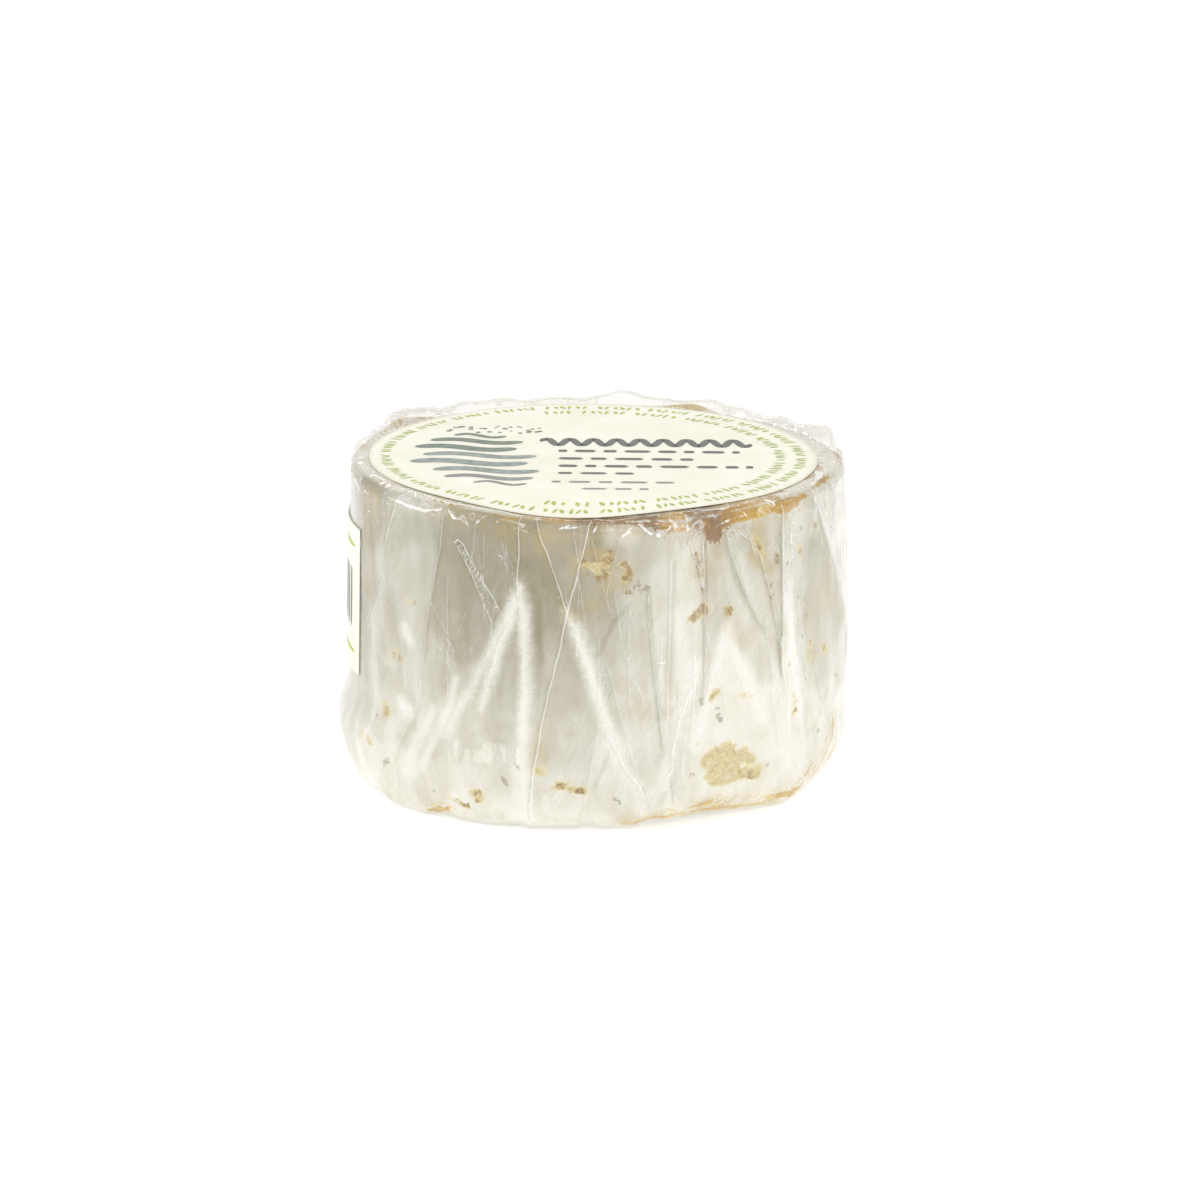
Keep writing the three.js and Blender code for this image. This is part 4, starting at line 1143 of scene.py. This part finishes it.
# Glints are painted highlights: milky white strokes, not reflections.
GLINTS = [  # small curled edges of film that catch the light: angle, height, half width
    [(-35.2, 53.6, 0.1), (-33.8, 52.6, 0.2), (-31.6, 52.4, 0.16), (-30.2, 51.6, 0.08)],
    [(-31.8, 53.2, 0.08), (-30.4, 52.6, 0.16), (-29.6, 51, 0.14)],
    [(-38, 55.4, 0.1), (-33, 54.8, 0.16), (-28, 54.6, 0.1)],
    [(-54, 53.2, 0.08), (-48, 52.8, 0.2), (-42, 52.8, 0.24), (-37, 53.4, 0.1)],
    [(9, 53, 0.08), (10.6, 52.2, 0.18), (12.4, 51.2, 0.2), (13.8, 50.8, 0.08)],
    [(10.4, 55.8, 0.08), (13.4, 54.8, 0.1), (16.8, 53, 0.1)],
    [(16.6, 53.4, 0.08), (17.4, 52.4, 0.2), (17.2, 51.4, 0.08)],
    [(19, 56, 0.08), (20.6, 54, 0.1), (20, 51.4, 0.1)],
    [(23.4, 56.6, 0.2), (27, 55.8, 0.22), (31, 55.2, 0.26), (34, 55.4, 0.12)],
    [(42.6, 54.8, 0.08), (44, 54, 0.3), (44.4, 53, 0.14)],
    [(62, 55, 0.12), (67, 55.2, 0.25), (71, 55.8, 0.6), (75, 56.6, 0.75), (78, 57.6, 0.3)],
    [(-22.6, 47.4, 0.06), (-20, 46.6, 0.16), (-18.2, 46.8, 0.06)],
    [(-21.6, 46.6, 0.06), (-19.6, 45, 0.1)],
    [(48, 52, 0.06), (49, 50, 0.08), (48.6, 46.6, 0.14)],
    [(46.6, 46.6, 0.08), (50, 46.2, 0.14)],
    [(-71, 49.2, 0.08), (-66, 49, 0.14), (-62, 49.6, 0.08)],
    [(-74, 53, 0.25), (-70, 52, 0.16), (-66, 52.4, 0.14)],
    [(-72, 46, 0.1), (-70, 42, 0.2), (-69.4, 37, 0.14)],
    [(14, 34.6, 0.1), (16, 34.8, 0.1)],
    [(13.8, 29.4, 0.16), (15.6, 29.6, 0.1)],
    [(-40.6, 33.4, 0.06), (-38, 32, 0.1)],
    [(-38, 29.6, 0.06), (-33.6, 31.6, 0.08)],
]
RIM_GLINTS = 60
RIM_GLINT_SEED = 11
RIM_GLINT_HEIGHTS = (50.5, 57.5)
RIM_GLINT_RUN = (-8, 8)
RIM_GLINT_RISE = (-1.6, 1.6)
RIM_GLINT_WIDTHS = (0.02, 0.12)
RIM_GLINT_END = 0.02
CRUMPLED = [  # where the film is crumpled: how much, softness of the edge, then the patch
    (1, 1.5, [(-84, 50, 4), (-60, 50, 3)]),
    (0.8, 1, [(-60, 54, 1.4), (-30, 53.6, 1.2)]),
    (1, 1, [(4, 54.8, 0.8), (14, 53.8, 1.6), (22, 53, 2)]),
    (0.9, 1, [(22, 53.6, 1), (56, 54, 1)]),
    (1, 2, [(56, 52, 2), (84, 50, 4)]),
    (0.6, 2, [(-23, 47, 2), (-18, 46, 2)]),
    (0.4, 2, [(6, 50, 2), (12, 46, 1)]),
    (0.6, 1.5, [(20, 50, 1.5), (24, 46, 1)]),
    (0.4, 2, [(36, 48, 3), (50, 46, 3)]),
    (0.4, 2, [(-40, 31, 3), (-30, 30, 3)]),
    (0.5, 2, [(48, 5, 3), (72, 10, 4)]),
    (0.35, 2, [(-62, 8, 4), (-40, 3, 3)]),
    (0.3, 1.5, [(8, 6, 3), (18, 6, 3)]),
    (0.6, 3, [(90, 50, 4), (130, 50, 4), (180, 50, 4), (230, 50, 4), (270, 50, 4)]),
    (0.4, 3, [(90, 8, 5), (130, 6, 5), (180, 8, 5), (230, 6, 5), (270, 8, 5)]),
]
CRUMPLED_TOP = (54, 55)
CRUMPLE_REACH = 6
SMOOTH_FRONT = [(-11, 21, 0.8)]  # where the top isn't crumpled: angle, half width, how much less
SMOOTH_HEIGHTS = (53, 54.5)
STANDING_HEIGHTS = (50, 53.5)  # where the film stands up as a loose milky edge
STANDING_TOP, STANDING_TOP_SHARE = (56, 58), 0.6
STANDING_ANGLES, STANDING_FRONT = (60, 105), 0.12  # from the front, and how much stands there


def creased(places, size, seed, stretch):
    """Relief from -1 to 1 with sharp crests."""
    return 1 - 2 * np.abs(uneven(places, size, seed, stretch))


def nearest_crease(angle, height, creases):
    """Distance across to the nearest of some creases, signed, and how strong that one is."""
    nearest = np.full(angle.shape, float(CREASE_REACH))
    strength = np.zeros(angle.shape)
    for force, line in creases:
        for start, end in zip(line, line[1:]):
            away, _ = from_line((*start, *end), angle, height)
            closer = np.abs(away) < np.abs(nearest)
            nearest = np.where(closer, away, nearest)
            strength = np.where(closer, force, strength)
    return nearest, strength


def fine_creases():
    """Fainter creases, strewn all round the side."""
    dice = np.random.default_rng(FINE_SEED)
    creases = []
    for i in range(FINE_CREASES):
        angle = dice.uniform(0, 360)
        high = dice.uniform(*FINE_TOPS)
        foot = angle + dice.uniform(*FINE_SLANT), high - dice.uniform(*FINE_DROPS)
        creases.append((dice.uniform(*FINE_FORCE), [(angle, high), foot]))
    return creases


def rim_glints():
    """Painted highlights on small curled edges all round the rim, each a short bent line."""
    dice = np.random.default_rng(RIM_GLINT_SEED)
    glints = []
    for i in range(RIM_GLINTS):
        angle, high = dice.uniform(0, 360), dice.uniform(*RIM_GLINT_HEIGHTS)
        line = [(angle, high, RIM_GLINT_END)]
        for width in (dice.uniform(*RIM_GLINT_WIDTHS), RIM_GLINT_END):
            angle, high = angle + dice.uniform(*RIM_GLINT_RUN), high + dice.uniform(*RIM_GLINT_RISE)
            line.append((angle, high, width))
        glints.append(line)
    return glints


rings = wheel_rings(FILM_SECTORS, FILM_STEPS)
angle, radius, height = off_wheel(rings)
steps_up = np.linalg.norm(np.diff(rings, axis=0, prepend=rings[:1]), axis=-1)
laid_out = on_wheel(angle, RIM_RADIUS, np.cumsum(steps_up, axis=0))
pleat = sum(
    size * creased(laid_out, width, seed, PLEAT_STRETCH) for width, size, seed in FILM_PLEATS
)
ruffle = creased(laid_out, RUFFLE_SIZE, RUFFLE_SEED, RUFFLE_STRETCH)
loose = ease(radius, TOP_LABEL_RADIUS + TOP_LABEL_EDGE, TOP_LABEL_RADIUS + TOP_LABEL_MARGIN)
loose = ease(height, *LOOSE_HEIGHTS) * loose + LOOSE_FOOT * ease(height, LOOSE_HEIGHTS[0], 0)
lift = pleat * (PLEAT_SHARE + LOOSE_PLEAT_SHARE * loose) + RIM_PLEAT * loose * ruffle
pressed = under_side_label(angle, height, SIDE_LABEL_PRESS)
free = 1 - np.maximum(pressed, under_top_label(radius, height))
film_rings = rings + outward(rings) * (np.maximum(0, lift) * free)[..., None]
film_rings[..., 2] = np.maximum(film_rings[..., 2], 0)

height = unrolled(angle, radius, height)
crease, crease_strength = nearest_crease(angle, height, HAIR_CREASES + fine_creases())
layered = np.max([inside_outline(angle, height, corners) for corners in FILM_LAYERS], axis=0)
patches = [
    much * ease(nearest_edge(angle, height, [patch], CRUMPLE_REACH), -softness, softness)
    for much, softness, patch in CRUMPLED
]
crumpled = np.max([ease(height, *CRUMPLED_TOP), *patches], axis=0)
crumpled = crumpled * (1 - humps(angle, SMOOTH_FRONT) * ease(height, *SMOOTH_HEIGHTS))
glinting = nearest_edge(angle, height, GLINTS + rim_glints())
standing = between(STANDING_FRONT, 1, ease(np.abs(angle), *STANDING_ANGLES))
standing = standing * between(1, STANDING_TOP_SHARE, ease(height, *STANDING_TOP))
standing = standing * ease(height, *STANDING_HEIGHTS)
film_masks = {
    "film": np.stack([crease, crease_strength, layered], -1),
    "slack": np.stack([crumpled, glinting, standing], -1),
}

FILM_CLEAR = (0.985, 0.985, 0.98, 1)
FILM_SHADED = (0.70, 0.69, 0.65, 1)
FILM_HAZE_AND_HIGHLIGHTS = colour(250, 250, 248)
FILM_LOOSE = colour(238, 236, 230)
FILM_IOR = 1.5
FILM_ROUGHNESS = 0.1
FILM_MOST_GLOSS = 0.4
FILM_GLOW = 0.2  # share of the haze's light that comes through from behind
FILM_BUMP, FILM_DEPTH = 0.6, 0.2
HAZE_EVERYWHERE = 0.04
# Milky shares: real haze where the film lies double, painted highlights on creases, crests and
# glints.
HAZE_LAYER, HIGHLIGHT_LINE, HIGHLIGHT_CREST, HIGHLIGHT_GLINT = 0.1, 0.75, 0.45, 0.85
HAZE_STANDING, HAZE_CRUMPLE = 0.26, 0.02

film_look, tree = start_material("clear_film")
crease_away, crease_force, layer_edge = mask_parts(tree, "film")
crumple, glint_edge, stands = mask_parts(tree, "slack")
wander = mottle_value(tree, 3, 2)
grit = mottle_value(tree, 0.8, detail=3)
long_crinkle = mottle_value(tree, 2.4, 4, 6, distortion=1.2)
round_crinkle = mottle_value(tree, 6, 0.7, detail=0.5, distortion=1)
fine_crinkle = mottle_value(tree, 0.9, 2, -9, distortion=0.8)
at_rim = ramp(stands, 0, STANDING_FRONT)
crinkle = add_node("Mix", {0: at_rim, 2: long_crinkle, 3: round_crinkle}).outputs[0]


def along_zero(value, width, shift=0):
    """A thin line wherever a value passes through shift."""
    away = maths("ABSOLUTE", maths("SUBTRACT", value, shift))
    return ramp(away, 0, width, 1, 0)


# Creases are thin milky lines, which are painted highlights, with a painted shaded side, and
# crumpled film is covered with them: crest is a painted highlight and lee_shade painted shade.
away = maths("MULTIPLY_ADD", wander, 0.15, crease_away)
line = times(along_zero(away, 0.15), crease_force)
shade = times(along_zero(away, 0.4, 0.35), crease_force)
layer = ramp(layer_edge, 0, 0.35)
off_rim = maths("MULTIPLY_ADD", at_rim, -1, 1)
fine_crest = times(along_zero(fine_crinkle, 0.16), off_rim)
crest = total((along_zero(crinkle, 0.1), 0.8), (fine_crest, 0.22))
crest = times(crest, crumple)
lee_shade = times(along_zero(crinkle, 0.26, 0.24), crumple)
lee_shade = times(lee_shade, maths("MULTIPLY_ADD", at_rim, -0.25, 0.4))
# Painted highlights on the curled edges of the film.
glint = ramp(maths("MULTIPLY_ADD", grit, 0.12, glint_edge), -0.08, 0.08)
glint = times(glint, ramp(wander, -0.9, 0.2, 0.35, 1))
# Real haze where the film lies double or stands loose, with painted highlights added in.
haze_and_highlights = total(
    (layer, HAZE_LAYER),
    (line, HIGHLIGHT_LINE),
    (crest, HIGHLIGHT_CREST),
    (glint, HIGHLIGHT_GLINT),
    (ramp(stands, 0.1, 1), HAZE_STANDING),
    (crumple, HAZE_CRUMPLE),
    start=HAZE_EVERYWHERE,
    clamp=True,
)
# Painted shade on one side of the creases and crinkles greys the clear film.
darker = total((shade, 0.35), start=lee_shade, clamp=True)
raised = total((crest, 1), (line, 1.2), (crinkle, 0.3))
tint = {"Color": mixed(darker, FILM_CLEAR, FILM_SHADED)}
see_through = add_node("BsdfTransparent", tint).outputs[0]
shine = {"Color": (1, 1, 1, 1), "Roughness": FILM_ROUGHNESS}
shine["Normal"] = relief(raised, FILM_BUMP, FILM_DEPTH)
gloss = add_node("BsdfGlossy", shine).outputs[0]
facing_share = place_node(tree, "Fresnel", {"IOR": FILM_IOR}).outputs[0]
facing_share = maths("MINIMUM", facing_share, FILM_MOST_GLOSS)
shiny = add_node("MixShader", {0: facing_share, 1: see_through, 2: gloss}).outputs[0]
milk = {"Color": mixed(ramp(stands, 0.6, 1), FILM_HAZE_AND_HIGHLIGHTS, FILM_LOOSE)}
lit = add_node("BsdfDiffuse", milk).outputs[0]
glowing = add_node("BsdfTranslucent", milk).outputs[0]
milky = add_node("MixShader", {0: FILM_GLOW, 1: lit, 2: glowing}).outputs[0]
hazy = add_node("MixShader", {0: haze_and_highlights, 1: shiny, 2: milky}).outputs[0]
add_node("OutputMaterial", {"Surface": hazy})

caps = [(0, 0, 0), (0, 0, WHEEL_HEIGHT)]
film = rings_piece("film", film_rings, caps, film_look, film_masks)
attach(film, "root")
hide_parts("wrapped_cheese")

# ---------------------------------------------------------------------------------------------
# The top label: a round of cream uncoated paper, stuck on the film. It follows the sag of the
# front edge and stands in low waves at its rim. The print is flat shapes in thin ink.
# ---------------------------------------------------------------------------------------------
PAPER = 0.13
PAPER_GAP = 0.04
TOP_LABEL_SHIFT = -0.6
TOP_LABEL_WAVES = 6
TOP_LABEL_WAVE = 0.1
TOP_LABEL_CREST = 20
LABEL_SECTORS = 240
LABEL_RINGS = 40


def on_top_label(flat, lift):
    """A place on the top label, from its middle, as a place on the wheel. lift is how far above
    the underside of the paper it lies."""
    angle, radius, _ = off_wheel(flat)
    edge = ease(radius, TOP_LABEL_RADIUS / 2, TOP_LABEL_RADIUS)
    crest = 0.5 + 0.5 * cosine(TOP_LABEL_WAVES * (angle - TOP_LABEL_CREST))
    level = top_height(angle, radius) + PAPER_GAP + TOP_LABEL_WAVE * crest * edge + lift
    return np.stack([flat[..., 0] + TOP_LABEL_SHIFT, flat[..., 1], level], -1)


def label_rings():
    """Rings of the paper: out along its underside, over its edge, and in along its face."""
    angle = np.arange(LABEL_SECTORS) * 360 / LABEL_SECTORS
    shares = np.arange(1, LABEL_RINGS + 1) / LABEL_RINGS
    rings = [(share, 0) for share in shares] + [(share, PAPER) for share in shares[::-1]]
    return np.array(
        [on_top_label(on_wheel(angle, TOP_LABEL_RADIUS * share, 0), lift) for share, lift in rings]
    )


PAPER_CREAM = colour(245, 243, 228)
PAPER_SHADE = colour(238, 235, 216)
PAPER_MOTTLE = 9
PAPER_FIBRE, FIBRE_COVER = colour(232, 224, 194), 0.35
FIBRE_SIZE, FIBRE_FROM = 0.35, 0.45  # FIBRE_FROM is how strong a fibre is before it shows
PAPER_ROUGHNESS = (0.5, 0.62)
PAPER_BUMP, PAPER_DEPTH = 0.25, 0.04

paper, tree = start_material("label_paper")
tone = mottle_value(tree, PAPER_MOTTLE)
fibre = mottle_value(tree, FIBRE_SIZE, detail=4)
look = mixed(ramp(tone, -1, 1), PAPER_CREAM, PAPER_SHADE)
look = mixed(ramp(fibre, FIBRE_FROM, 1, 0, FIBRE_COVER), look, PAPER_FIBRE)
give_surface({
    "Base Color": look,
    "Roughness": ramp(fibre, -1, 1, *PAPER_ROUGHNESS),
    "Normal": relief(fibre, PAPER_BUMP, PAPER_DEPTH),
})

caps = on_top_label(np.zeros((2, 3)), np.array([0, PAPER]))
top_label = rings_piece("top_label_paper", label_rings(), caps, paper)
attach(top_label, "root")
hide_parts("top_label")

INK_LIFT = 0.03
INK_MOTTLE, INK_CONTRAST = 1.6, (-0.8, 0.8)
INK_ROUGHNESS = (0.42, 0.55)


def ink(name, dark, light):
    """Thin ink on paper: a little uneven, so that some of the paper's tone comes through."""
    made, tree = start_material(name)
    cover = mottle_value(tree, INK_MOTTLE, detail=4)
    look = mixed(ramp(cover, *INK_CONTRAST), dark, light)
    roughness = ramp(cover, -1, 1, *INK_ROUGHNESS)
    give_surface({"Base Color": look, "Roughness": roughness})
    return made


INKS = {
    "ink_leaf_green": (colour(150, 172, 52), colour(184, 200, 96)),
    "ink_sage_dark": (colour(84, 100, 86), colour(128, 140, 124)),
    "ink_sage": (colour(112, 126, 116), colour(156, 166, 158)),
    "ink_charcoal": (colour(78, 78, 74), colour(104, 104, 100)),
    "ink_grey": (colour(118, 118, 114), colour(150, 150, 146)),
}
ink_names = list(INKS)
ink_looks = [ink(name, *tones) for name, tones in INKS.items()]


class Print:
    """Flat strokes of ink, gathered into one mesh."""

    def __init__(self):
        self.places, self.faces, self.inks = [], [], []

    def stroke(self, ink_name, line, half_widths):
        """A stroke along a line of places, as wide at each as half_widths says."""
        run = np.gradient(line, axis=0)
        run /= np.linalg.norm(run, axis=1, keepdims=True)
        side = np.stack([run[:, 1], -run[:, 0]], -1) * half_widths[:, None]
        rows = np.stack([line + side, line, line - side], 1)
        start = len(self.places)
        self.places += rows.reshape(-1, 2).tolist()
        for row in range(len(line) - 1):
            for column in range(2):
                corner = start + row * 3 + column
                self.faces.append((corner, corner + 3, corner + 4, corner + 1))
                self.inks.append(ink_names.index(ink_name))

    def bar(self, ink_name, start, end, width, steps=8, wave=0, waves=1):
        """A bar with rounded ends, which may wave."""
        share = np.linspace(0, 1, steps + 1)
        line = np.array(start) + share[:, None] * (np.array(end) - np.array(start))
        line[:, 1] += wave * np.sin(2 * np.pi * waves * share)
        rounding = (1 - np.abs(2 * share - 1) ** (6 * waves)) ** 0.5
        self.stroke(ink_name, line, width / 2 * rounding)

    def make(self, name, onto):
        """The mesh, with each place put where onto says, on the face of the paper."""
        flat = np.pad(self.places, ((0, 0), (0, 1)))
        piece = make_piece(name, onto(flat, PAPER + INK_LIFT), self.faces, *ink_looks)
        piece.data.polygons.foreach_set("material_index", self.inks)
        return piece


BORDER_ROWS = [(35.3, 168), (31.8, 150)]  # radius, strokes
BORDER_DRIFT = (0, 0.3)
BORDER_LEAN = (-24, 24)
BORDER_LENGTH = (1.5, 2.6)
BORDER_WIDTH = (0.45, 0.75)
BORDER_STEPS = 4
BORDER_GAP = 7  # one stroke in so many is left out
BORDER_OPEN = (196, 344)  # the angles where there is only the outer row
BANDS = [  # wavy bands at the left: first x, last x, y, width, ink
    (-24, -15, 13.5, 1.5, "ink_sage_dark"),
    (-28, -12, 9.5, 2.6, "ink_sage_dark"),
    (-30.5, -13, 4.6, 3, "ink_sage_dark"),
    (-29, -9.5, -0.6, 2.6, "ink_sage"),
    (-31, -11, -5.6, 3.2, "ink_sage"),
    (-27, -9, -11, 2.8, "ink_sage"),
    (-25, -10, -15.8, 2.2, "ink_grey"),
    (-20, -11, -19.8, 1.2, "ink_grey"),
]
BAND_WAVE = 1.2
BAND_STEPS = 32
DOTS = 30
DOT_SEED = 3
DOT_X, DOT_Y, DOT_SIZE = (-27, -9), (15.5, 21), (0.5, 1)
HEADING = ((-9, 9.5), (27, 9.5))
HEADING_WAVES = 9
HEADING_WAVE = 2.3
HEADING_WIDTH = 1.5
HEADING_STEPS = 180
ROWS = [  # rows of dashes: y, first x, last x, height of a dash, ink
    (3.2, -6, 24, 1.7, "ink_charcoal"),
    (-2.2, -6, 18, 1.6, "ink_charcoal"),
    (-7.4, -6, 26, 1.7, "ink_charcoal"),
    (-12.4, -6, 8, 1.4, "ink_charcoal"),
    (-18.4, -7, 14, 1.2, "ink_grey"),
    (-23, -2, 10, 1, "ink_grey"),
]
DASH_LENGTH = (1.6, 5.2)
DASH_GAP = 1.1

page = Print()
for row, (border_radius, strokes) in enumerate(BORDER_ROWS):
    for i in range(strokes):
        border_angle = 360 * (i + scatter(i, row, BORDER_DRIFT)) / strokes
        if i % BORDER_GAP == 0 or row == 1 and BORDER_OPEN[0] < border_angle < BORDER_OPEN[1]:
            continue
        middle = on_wheel(border_angle, border_radius, 0)[:2]
        lean = border_angle - 90 + scatter(i, row + 2, BORDER_LEAN)
        reach = np.array([cosine(lean), sine(lean)]) * scatter(i, row + 4, BORDER_LENGTH) / 2
        width = scatter(i, row + 6, BORDER_WIDTH)
        page.bar("ink_leaf_green", middle - reach, middle + reach, width, BORDER_STEPS)
for first, last, y, width, ink_name in BANDS:
    page.bar(ink_name, (first, y), (last, y), width, BAND_STEPS, BAND_WAVE)
dice = np.random.default_rng(DOT_SEED)
for i in range(DOTS):
    x, y, size = dice.uniform(*DOT_X), dice.uniform(*DOT_Y), dice.uniform(*DOT_SIZE)
    page.bar("ink_sage_dark", (x, y), (x + size, y), size)
page.bar("ink_charcoal", *HEADING, HEADING_WIDTH, HEADING_STEPS, HEADING_WAVE, HEADING_WAVES)
for row, (y, first, last, tall, ink_name) in enumerate(ROWS):
    x, i = first, 0
    while x < last:
        length = scatter(i, row, DASH_LENGTH)
        page.bar(ink_name, (x, y), (min(x + length, last + 1), y), tall)
        x += length + DASH_GAP
        i += 1

top_print = page.make("top_label_print", on_top_label)
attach(top_print, "root")
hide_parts("top_label")

# ---------------------------------------------------------------------------------------------
# The side label: a small oblong of the same cream paper, stuck on the film at the left and bent
# round the side. Its print is plain stripes between two bars, in the same thin ink.
# ---------------------------------------------------------------------------------------------
SIDE_COLUMNS = 90
SIDE_ROWS = 40
STRIPES = 9
STRIPE_PITCH = 2.2
STRIPE_HEIGHT = 11
STRIPE_WIDTH = 1.1
STRIPE_STEPS = 16
STRIPES_MIDDLE = 5
SIDE_BARS = (-9.2, 9.2)
SIDE_BAR_ENDS = (-15, 16.5)
SIDE_BAR_WIDTH = 0.9
SIDE_BAR_STEPS = 40


def on_side_label(flat, lift):
    """A place on the side label, from its middle along and up, as a place on the wheel. lift is
    how far above the underside of the paper it lies."""
    angle = SIDE_LABEL_MIDDLE + np.degrees(flat[..., 0] / RIM_RADIUS)
    height = SIDE_LABEL_MIDDLE_HEIGHT + flat[..., 1]
    return on_wheel(angle, side_radius(angle, height) + PAPER_GAP + lift, height)


def bent_sheet():
    """Places and faces of the paper: a closed sheet of two bent faces joined round their edges."""
    x = np.linspace(-SIDE_LABEL_WIDTH / 2, SIDE_LABEL_WIDTH / 2, SIDE_COLUMNS + 1)
    y = np.linspace(-SIDE_LABEL_HEIGHT / 2, SIDE_LABEL_HEIGHT / 2, SIDE_ROWS + 1)
    flat = np.stack(np.meshgrid(x, y), -1)
    places = np.concatenate([on_side_label(flat, lift).reshape(-1, 3) for lift in (0, PAPER)])
    under, face = np.arange(len(places)).reshape(2, SIDE_ROWS + 1, SIDE_COLUMNS + 1)
    strips = [
        (face[:-1, :-1], face[:-1, 1:], face[1:, 1:], face[1:, :-1]),
        (under[:-1, :-1], under[1:, :-1], under[1:, 1:], under[:-1, 1:]),
        (under[:-1, 0], face[:-1, 0], face[1:, 0], under[1:, 0]),
        (face[:-1, -1], under[:-1, -1], under[1:, -1], face[1:, -1]),
        (under[0, :-1], under[0, 1:], face[0, 1:], face[0, :-1]),
        (face[-1, :-1], face[-1, 1:], under[-1, 1:], under[-1, :-1]),
    ]
    faces = []
    for corners in strips:
        faces += np.stack([number.ravel() for number in corners], -1).tolist()
    return places, faces


side_label = make_piece("side_label_paper", *bent_sheet(), paper)
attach(side_label, "root")
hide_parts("side_label")

page = Print()
for i in range(STRIPES):
    x = (i - (STRIPES - 1) / 2) * STRIPE_PITCH + STRIPES_MIDDLE
    ends = (x, -STRIPE_HEIGHT / 2), (x, STRIPE_HEIGHT / 2)
    page.bar("ink_charcoal", *ends, STRIPE_WIDTH, STRIPE_STEPS)
for y in SIDE_BARS:
    ends = [(x, y) for x in SIDE_BAR_ENDS]
    page.bar("ink_leaf_green", *ends, SIDE_BAR_WIDTH, SIDE_BAR_STEPS)
side_print = page.make("side_label_print", on_side_label)
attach(side_print, "root")
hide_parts("side_label")

# ---------------------------------------------------------------------------------------------
# The table and the light: a plain white table with a faint glow, in a white room. Two square lamps
# give the soft light, and four long ones the streaks of gloss on the film.
# ---------------------------------------------------------------------------------------------
TABLE_SIZE = 8000
TABLE_LEVEL = -0.05
TABLE_WHITE = colour(250, 250, 250)
TABLE_SHADE = colour(247, 247, 247)
TABLE_MOTTLE = 200
TABLE_ROUGHNESS = 0.8
TABLE_GLOW = 0.42
LAMPS = [  # name, place, width, height, watts
    ("key", (900, -600, 500), 250, 250, 0.9),
    ("fill", (-900, -700, 250), 250, 250, 0.7),
    ("strip_right", (550, -300, 500), 40, 500, 0.5),
    ("strip_left", (-500, -350, 600), 40, 500, 0.6),
    ("strip_front", (150, -800, 700), 500, 140, 0.6),
    ("strip_back", (-200, 700, 500), 600, 40, 0.6),
]
ROOM_LIGHT = 0.87

table_look, tree = start_material("white_table")
tone = mottle_value(tree, TABLE_MOTTLE)
look = mixed(ramp(tone, -1, 1), TABLE_WHITE, TABLE_SHADE)
give_surface({
    "Base Color": look,
    "Roughness": TABLE_ROUGHNESS,
    "Emission Color": look,
    "Emission Strength": TABLE_GLOW,
})
square = [(-1, -1), (1, -1), (1, 1), (-1, 1)]
corners = np.array([(x * TABLE_SIZE / 2, y * TABLE_SIZE / 2, TABLE_LEVEL) for x, y in square])
floor = make_piece("table", corners, [(0, 1, 2, 3)], table_look)

for name, place, wide, tall, watts in LAMPS:
    lamp = bpy.data.lights.new(name, "AREA")
    lamp.shape = "RECTANGLE"
    lamp.size, lamp.size_y = wide * METRES, tall * METRES
    lamp.energy = watts
    stand = put_in_scene(name, lamp)
    stand.location = Vector(place) * METRES
    stand.rotation_euler = (target - stand.location).to_track_quat("-Z", "Y").to_euler()

room = bpy.data.worlds.new("room")
room.use_nodes = True
room.node_tree.nodes["Background"].inputs[0].default_value = (1, 1, 1, 1)
room.node_tree.nodes["Background"].inputs[1].default_value = ROOM_LIGHT
bpy.context.scene.world = room
bpy.context.scene.view_settings.view_transform = "Standard"
